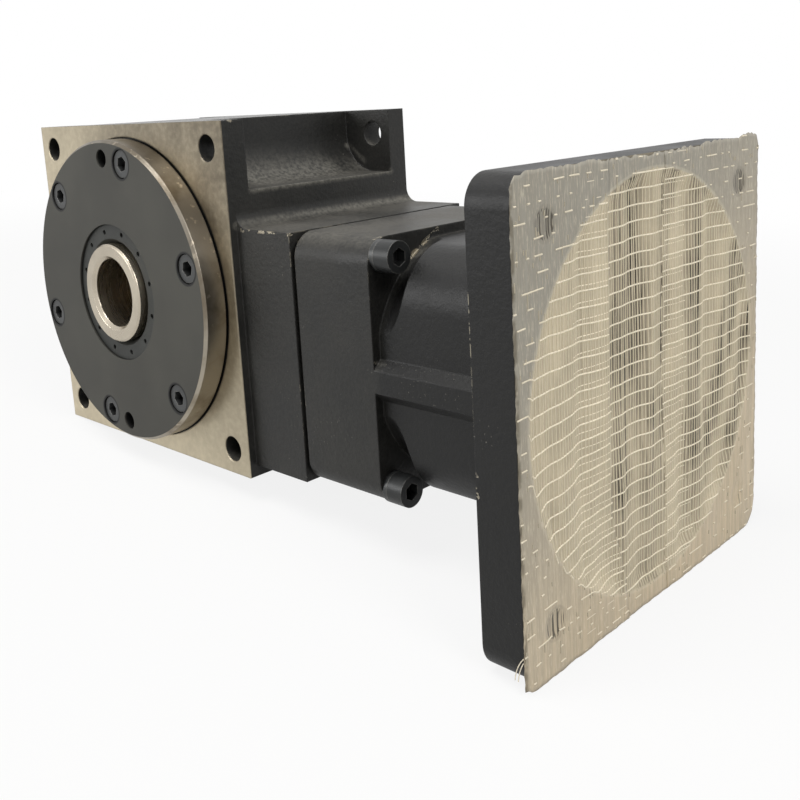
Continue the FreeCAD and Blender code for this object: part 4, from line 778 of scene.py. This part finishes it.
def tree_vectors(tree, operation, first, second, out=0):
    return tree_node(tree, "ShaderNodeVectorMath", {"operation": operation}, {0: first, 1: second}, out)


# %% A row of lines, and how they leave the straight
BOW_FROM = PLATE_Z + 0.03
BOW_FULL = PLATE_Z - 0.045


def straight_lines(tree, given):
    """A row of straight lines, each with its number of points."""
    line = tree_node(tree, "GeometryNodeCurvePrimitiveLine", None, {"End": given["Run"]})
    row = tree_node(tree, "GeometryNodeMeshLine", None, {
        "Count": given["Count"], "Start Location": given["First"], "Offset": given["Step"]})
    lines = tree_node(tree, "GeometryNodeInstanceOnPoints", None, {"Points": row, "Instance": line})
    lines = tree_node(tree, "GeometryNodeRealizeInstances", None, {0: lines})
    return tree_node(tree, "GeometryNodeResampleCurve", None, {"Curve": lines, "Count": given["Points"]})


def over_recess(tree, given, place):
    """A mask: 1 where the film hangs over the recess, 0 where it is stuck down."""
    flat = tree_vectors(tree, "MULTIPLY", place, (0.0, 1.0, 1.0))
    reach = tree_vectors(tree, "DISTANCE", flat, given["Centre"], "Value")
    return tree_node(tree, "ShaderNodeMapRange", None, {
        "Value": reach, "From Min": RECESS_RADIUS + 0.0004, "From Max": RECESS_RADIUS - 0.0008})


def wander(tree, given, place, free):
    """How far points leave the straight: noise, and a bow that grows in the lower rows."""
    spread = tree_vectors(tree, "MULTIPLY", place, given["Wander Scale"])
    noise = tree_node(tree, "ShaderNodeTexNoise", {"noise_dimensions": "4D"}, {
        "Vector": spread, "W": given["Seed"], "Scale": 1.0, "Detail": 1.0}, "Color")
    swing = tree_vectors(tree, "SUBTRACT", noise, (0.5, 0.5, 0.5))
    swing = tree_vectors(tree, "MULTIPLY", swing, given["Wander"])
    height = tree_node(tree, "ShaderNodeSeparateXYZ", None, {0: place}, 2)
    lower = tree_node(tree, "ShaderNodeMapRange", {"interpolation_type": "SMOOTHSTEP"}, {
        "Value": height, "From Min": BOW_FROM, "From Max": BOW_FULL})
    share = tree_node(tree, "GeometryNodeSplineParameter", out="Factor")
    rest = tree_maths(tree, "SUBTRACT", 1.0, share)
    rest = tree_maths(tree, "MULTIPLY", rest, rest)
    rest = tree_maths(tree, "MULTIPLY", rest, lower)
    rest = tree_maths(tree, "MULTIPLY", rest, free)
    bow = tree_node(tree, "ShaderNodeVectorMath", {"operation": "SCALE"}, {0: given["Bow"], "Scale": rest})
    return tree_vectors(tree, "ADD", swing, bow)


# %% Drop the lines onto the film and make them round
DROP_FROM = 0.02
DROP_REACH = 0.06
SOAK_SCALE = 400.0
THREAD_SIDES = 5


def drop_on_film(tree, given, lines, place, free):
    """Points that meet the film move onto it; those that miss it or are soaked are thrown away."""
    above = tree_vectors(tree, "ADD", place, (DROP_FROM, 0.0, 0.0))
    hit = tree_node(tree, "GeometryNodeRaycast", None, {
        "Target Geometry": given["Film"], "Source Position": above,
        "Ray Direction": (-1.0, 0.0, 0.0), "Ray Length": DROP_REACH}, "Is Hit")
    missed = tree_node(tree, "FunctionNodeBooleanMath", {"operation": "NOT"}, {0: hit})
    glue = tree_node(tree, "ShaderNodeTexNoise", {"noise_dimensions": "4D"}, {
        "Vector": place, "W": given["Seed"], "Scale": SOAK_SCALE, "Detail": 0.0})
    glue = tree_maths(tree, "SUBTRACT", glue, free)
    soaked = tree_node(tree, "FunctionNodeCompare", {"operation": "GREATER_THAN"}, {
        0: glue, 1: given["Soaked From"]})
    gone = tree_node(tree, "FunctionNodeBooleanMath", {"operation": "OR"}, {0: missed, 1: soaked})
    lines = tree_node(tree, "GeometryNodeCurveToMesh", None, {"Curve": lines})
    lines = tree_node(tree, "GeometryNodeDeleteGeometry", {"domain": "POINT"}, {
        "Geometry": lines, "Selection": gone})
    lines = tree_node(tree, "GeometryNodeSetPosition", None, {
        "Geometry": lines, "Position": hit.node.outputs["Hit Position"]})
    return tree_node(tree, "GeometryNodeMeshToCurve", None, {"Mesh": lines})


def round_threads(tree, given, lines, free):
    """Tubes along the lines, thinner where they are stuck down."""
    share = tree_node(tree, "ShaderNodeMapRange", None, {
        "Value": free, "To Min": given["Stuck Share"], "To Max": 1.0})
    lines = tree_node(tree, "GeometryNodeSetCurveRadius", None, {"Curve": lines, "Radius": share})
    section = tree_node(tree, "GeometryNodeCurvePrimitiveCircle", None, {
        "Resolution": THREAD_SIDES, "Radius": given["Radius"]})
    return tree_node(tree, "GeometryNodeCurveToMesh", None, {
        "Curve": lines, "Profile Curve": section, "Fill Caps": True})


# %% A node tree that lays a row of threads on a film
THREAD_INPUTS = (
    ("Count", "NodeSocketInt"), ("First", "NodeSocketVector"), ("Step", "NodeSocketVector"),
    ("Run", "NodeSocketVector"), ("Points", "NodeSocketInt"), ("Radius", "NodeSocketFloat"),
    ("Stuck Share", "NodeSocketFloat"), ("Soaked From", "NodeSocketFloat"),
    ("Wander", "NodeSocketVector"), ("Wander Scale", "NodeSocketVector"),
    ("Bow", "NodeSocketVector"), ("Seed", "NodeSocketFloat"), ("Centre", "NodeSocketVector"),
    ("Finish", "NodeSocketMaterial"))


def thread_tree():
    tree = bpy.data.node_groups.new("threads_on_film", "GeometryNodeTree")
    face = tree.interface
    face.new_socket("Film", in_out="INPUT", socket_type="NodeSocketGeometry")
    for name, kind in THREAD_INPUTS:
        face.new_socket(name, in_out="INPUT", socket_type=kind)
    face.new_socket("Threads", in_out="OUTPUT", socket_type="NodeSocketGeometry")
    given = tree.nodes.new("NodeGroupInput").outputs

    place = tree_node(tree, "GeometryNodeInputPosition")
    free = over_recess(tree, given, place)
    lines = straight_lines(tree, given)
    lines = tree_node(tree, "GeometryNodeSetPosition", None, {
        "Geometry": lines, "Offset": wander(tree, given, place, free)})
    lines = drop_on_film(tree, given, lines, place, free)
    tubes = round_threads(tree, given, lines, free)
    tubes = tree_node(tree, "GeometryNodeRealizeInstances", None, {0: tubes})
    tubes = tree_node(tree, "GeometryNodeSetMaterial", None, {
        "Geometry": tubes, "Material": given["Finish"]})
    tree.links.new(tubes, tree.nodes.new("NodeGroupOutput").inputs[0])
    return tree


threads_on_film = thread_tree()
print("thread tree:", len(threads_on_film.nodes), "nodes")


# %% Turn the tree into plain meshes
def lay_threads(name, film, values):
    """Run the tree on a film and keep the result as a piece of its own."""
    carrier = bpy.data.objects.new(name + "_maker", film.data)
    scene.collection.objects.link(carrier)
    maker = carrier.modifiers.new("threads", "NODES")
    maker.node_group = threads_on_film
    for item in threads_on_film.interface.items_tree:
        if item.in_out == "INPUT" and item.name in values:
            maker[item.identifier] = values[item.name]
    graph = bpy.context.evaluated_depsgraph_get()
    data = bpy.data.meshes.new_from_object(carrier.evaluated_get(graph))
    data.name = name
    carrier.modifiers.remove(maker)
    bpy.data.objects.remove(carrier)
    piece = bpy.data.objects.new(name, data)
    scene.collection.objects.link(piece)
    print(name, len(data.polygons), "faces")
    return piece


# %% [markdown]
# ## Colours of the tape
# Where the film is stuck down it is grey, because the plate shows through. Over the recess it is beige,
# and where the folds hang deepest over the dark inside of the bell they get painted shade, and the film
# turns a little clear there. Each shaded fold is a soft band round a line with a lean of its own. A fold
# is not even: the glue forms patches and fine upright streaks. Over the bolt holes, slits of painted shade
# stand for the dark holes, apart from the far lower one. A painted highlight runs along the edge of the
# recess.

# %% Painted shade in the folds of the film
SHADED_FOLDS = ((-0.0165, 0.0072, 0.0), (-0.0055, 0.0078, -0.12), (0.0018, 0.0056, 0.13),
              (0.0224, 0.0058, 0.04), (0.0412, 0.0064, 0.36), (0.0556, 0.0048, 0.3))


def fold_shade_mask(place, across, height):
    """A mask of painted shade in the folds; each has a middle, a half width and a lean."""
    sway = (place.noise(34.0, 1.0) - 0.5) * 0.008
    folds = None
    for middle, half, lean in SHADED_FOLDS:
        band = 1 - (across - height * lean + sway).apart(middle).fade(half * 0.3, half * 1.2)
        folds = band if folds is None else folds.either(band)
    return (folds * 0.8 + 0.2) * height.fade(-0.036, -0.026).between(0.45, 1.0)


print("dark folds:", len(SHADED_FOLDS))

# %% Film finish
FOLD_SHADE = srgb(48, 41, 29)
HANGING_DARK = srgb(175, 164, 141)
HANGING_LIGHT = srgb(200, 187, 161)
GLUED_WARM = srgb(194, 177, 149)
GLUED_GREY = srgb(140, 136, 125)
GLUED_STREAK = srgb(124, 117, 104)
GLUED_FUZZ = srgb(216, 204, 180)
BOLT_RIM = srgb(96, 91, 81)
RECESS_EDGE_HIGHLIGHT = srgb(206, 196, 174)
NEAR_EDGE = srgb(88, 80, 64)
BOLT_RADIUS = 0.0043
WEAVE_DEPTH = 0.00012


def glued_colour(place, across, height, streaks):
    """Film on the bare plate: warm below, grey above, with streaks and pale fuzz."""
    warmth = (height - across * 0.5).fade(-0.07, 0.06)
    glued = warmth.colour(GLUED_WARM, GLUED_GREY)
    glued = (streaks * 0.3).colour(glued, GLUED_STREAK)
    fuzz = place.scaled(1, 1, 0.1).noise(2300.0, 3.0, 0.7).fade(0.5, 0.72)
    return (fuzz * 0.45).colour(glued, GLUED_FUZZ)


def film_finish():
    finish, shader, place = new_finish("tape_film")
    spot = place.moved(0, PLATE_Y, PLATE_Z)
    across = spot.axis(1)
    height = spot.axis(2)
    radius = spot.scaled(0, 1, 1).reach()
    free = 1 - radius.fade(RECESS_RADIUS - 0.0007, RECESS_RADIUS + 0.0001)
    patches = place.scaled(1, 1, 0.35).noise(95.0, 3.0).fade(0.30, 0.62)
    streaks = place.scaled(1, 1, 0.05).noise(1050.0, 2.0).fade(0.3, 0.62)
    # Painted shade in the deepest folds over the recess.
    dark = fold_shade_mask(place, across, height) * patches.between(0.45, 1.0) * streaks.between(0.4, 1.0)

    bolt = spot.node("ShaderNodeVectorMath", {"operation": "ABSOLUTE"}, {0: spot})
    bolt = bolt.moved(0, BOLT_PLACE, BOLT_PLACE).scaled(0, 1, 1).reach()
    bedded = across.fade(0.02, 0.03) * (1 - height.fade(-0.03, -0.02))
    hole = (1 - bolt.fade(0.0034, 0.0044)) * (1 - bedded)
    slits = place.scaled(1, 1, 0.02).noise(1500.0, 1.0).fade(0.46, 0.58)
    # Painted shade: dark slits over the bolt holes.
    dark = dark.either(hole * slits * 0.9)

    hanging = place.noise(70.0, 3.0).fade(0.3, 0.7).colour(HANGING_DARK, HANGING_LIGHT)
    colour = free.colour(glued_colour(place, across, height, streaks), hanging)
    colour = (dark * free.either(hole)).colour(colour, FOLD_SHADE)
    rim = 1 - bolt.apart(BOLT_RADIUS).fade(0.0001, 0.0006)
    colour = (rim * (1 - bedded) * 0.2).colour(colour, BOLT_RIM)
    # Darker in patches along the near edge.
    near_edge_dark = (1 - across.fade(-0.0619, -0.0608)) * place.noise(160.0, 3.0).fade(0.38, 0.54)
    colour = (near_edge_dark * 0.7).colour(colour, NEAR_EDGE)
    # A painted highlight along the edge of the recess.
    edge_highlight = 1 - radius.apart(RECESS_RADIUS).fade(0.0002, 0.0008)
    colour = (edge_highlight * 0.25).colour(colour, RECESS_EDGE_HIGHLIGHT)
    place.feed(shader.inputs["Base Color"], colour)
    place.feed(shader.inputs["Roughness"], patches.between(0.34, 0.5))
    place.feed(shader.inputs["Alpha"], 1 - dark * free * 0.3)
    shader.inputs["Specular IOR Level"].default_value = 0.4
    weave = place.scaled(1, 1, 0.08).noise(1100.0, 2.0)
    place.feed(shader.inputs["Normal"], place.bump(weave, WEAVE_DEPTH, 0.4))
    return finish


tape_film = film_finish()
print("film finish:", tape_film.name)

# %% Yarn and thread finishes
YARN_FIBRE = srgb(168, 158, 136)


def yarn_finish(name, dry, glued):
    """Pale glass yarn: bright where it hangs dry, dull where glue has soaked it."""
    finish, shader, place = new_finish(name)
    radius = place.moved(0, PLATE_Y, PLATE_Z).scaled(0, 1, 1).reach()
    soaked = radius.fade(RECESS_RADIUS - 0.0005, RECESS_RADIUS + 0.0005)
    fibres = place.noise(900.0, 3.0, 0.6).fade(0.3, 0.7)
    pale = soaked.colour(dry, glued)
    place.feed(shader.inputs["Base Color"], (fibres * 0.3).colour(pale, YARN_FIBRE))
    place.feed(shader.inputs["Roughness"], fibres.between(0.4, 0.55))
    shader.inputs["Specular IOR Level"].default_value = 0.4
    return finish


weft_yarn = yarn_finish("weft_yarn", srgb(232, 222, 201), srgb(216, 206, 185))
warp_thread = yarn_finish("warp_thread", srgb(198, 187, 163), srgb(166, 157, 138))
print("yarn finishes:", weft_yarn.name, warp_thread.name)

# %% [markdown]
# Two yarns have come loose at the torn near edge and curl back along the plate. A smooth curve with
# a round section is enough for them.

# %% Loose yarns at the near edge
FRAY_RADIUS = 0.00013
FRAYS = (((0.0001, 0.0007, 0.0092), (-0.0009, 0.0010, 0.0080),
          (-0.0019, 0.0012, 0.0060), (-0.0022, 0.0013, 0.0032)),
         ((0.0, 0.0007, 0.0080), (-0.0006, 0.0009, 0.0068),
          (-0.0012, 0.0011, 0.0050), (-0.0013, 0.0012, 0.0030)))


def loose_yarns(name):
    """Curved yarns whose points are counted from the near lower corner of the plate's face."""
    curve = bpy.data.curves.new(name, "CURVE")
    curve.dimensions = "3D"
    curve.bevel_depth = FRAY_RADIUS
    curve.bevel_resolution = 1
    curve.use_fill_caps = True
    for fray in FRAYS:
        spline = curve.splines.new("NURBS")
        spline.points.add(len(fray) - 1)
        spline.use_endpoint_u = True
        for point, (forward, outward, above) in zip(spline.points, fray):
            point.co = (PLATE_FACE + forward, PLATE_Y - PLATE_HALF - outward,
                        PLATE_Z - PLATE_HALF + above, 1.0)
    maker = bpy.data.objects.new(name + "_maker", curve)
    scene.collection.objects.link(maker)
    graph = bpy.context.evaluated_depsgraph_get()
    data = bpy.data.meshes.new_from_object(maker.evaluated_get(graph))
    data.name = name
    data.materials.clear()
    data.materials.append(weft_yarn)
    bpy.data.objects.remove(maker)
    piece = bpy.data.objects.new(name, data)
    scene.collection.objects.link(piece)
    return piece


frays = loose_yarns("tape_near_frays")
print("loose yarns:", len(frays.data.polygons), "faces")

# %% [markdown]
# Last come the threads themselves. The white yarns bow down towards the near edge, most in the
# lower rows, as if that corner of the tape had been pulled down last. Where two strips overlap,
# the yarns of the lower one only just show through the upper film.

# %% The yarns and threads of one strip
MARGIN = 0.003
FULL_RUN = 2 * PLATE_HALF + 2 * MARGIN
THREAD_LOW = PLATE_Z - PLATE_HALF - MARGIN
YARN_PITCH = 0.00415
YARN_RADIUS = 0.00024
YARN_POINT = 0.0009
ROW_OFFSET = 0.37 * YARN_PITCH
NEAR_BOW = -0.0095
OTHER_BOW = -0.001
THREAD_PITCH = 0.00125
THREAD_RADIUS = 0.00019
THREAD_POINTS = 116


def strip_values(name, number):
    """Width of a strip with its drift, its first place across, and the values both rows share."""
    strip = STRIPS[name]
    width = strip["end"] - strip["start"] + strip["drift"]
    first = PLATE_Y + strip["start"] - MARGIN
    return width, first, {"Centre": (0.0, PLATE_Y, PLATE_Z), "Seed": 3.0 + 7.0 * number}


def strip_yarns(name, film, number):
    """White yarns across a strip, in rows that don't line up with the next strip's."""
    width, first, shared = strip_values(name, number)
    return lay_threads(name + "_yarns", film, shared | {
        "Count": round(FULL_RUN / YARN_PITCH), "Step": (0.0, 0.0, YARN_PITCH),
        "First": (PLATE_FACE, first, THREAD_LOW + ROW_OFFSET * number),
        "Run": (0.0, width + 2 * MARGIN, 0.0), "Points": round(width / YARN_POINT),
        "Radius": YARN_RADIUS, "Stuck Share": 0.5, "Soaked From": 0.5,
        "Wander": (0.0, 0.0, 0.0036), "Wander Scale": (20.0, 20.0, 20.0),
        "Bow": (0.0, 0.0, NEAR_BOW if name == "tape_near" else OTHER_BOW), "Finish": weft_yarn})


def strip_threads(name, film, number):
    """Thin threads that run up a strip from below the plate to above it."""
    width, first, shared = strip_values(name, number)
    return lay_threads(name + "_threads", film, shared | {
        "Count": round((width + 2 * MARGIN) / THREAD_PITCH), "Step": (0.0, THREAD_PITCH, 0.0),
        "First": (PLATE_FACE, first, THREAD_LOW),
        "Run": (0.0, 0.0, FULL_RUN), "Points": THREAD_POINTS,
        "Radius": THREAD_RADIUS, "Stuck Share": 0.25, "Soaked From": 0.36,
        "Wander": (0.0, 0.0016, 0.0), "Wander Scale": (0.0, 460.0, 20.0),
        "Bow": (0.0, 0.0, 0.0), "Finish": warp_thread})


# %% [markdown]
# The films are still bare surfaces. Solidify gives each its thickness after its threads are laid, and each
# strip then rides with its yarns and threads on the case, which doesn't move.

# %% Lay the threads and stick the tape down
for number, (name, film) in enumerate(films.items()):
    film.data.materials.append(tape_film)
    carried = [strip_yarns(name, film, number), strip_threads(name, film, number)]
    if name == "tape_near":
        carried.append(frays)
    skin = film.modifiers.new("skin", "SOLIDIFY")
    skin.thickness = FILM
    skin.offset = -1.0
    for piece in (film, *carried):
        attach(piece, "case")
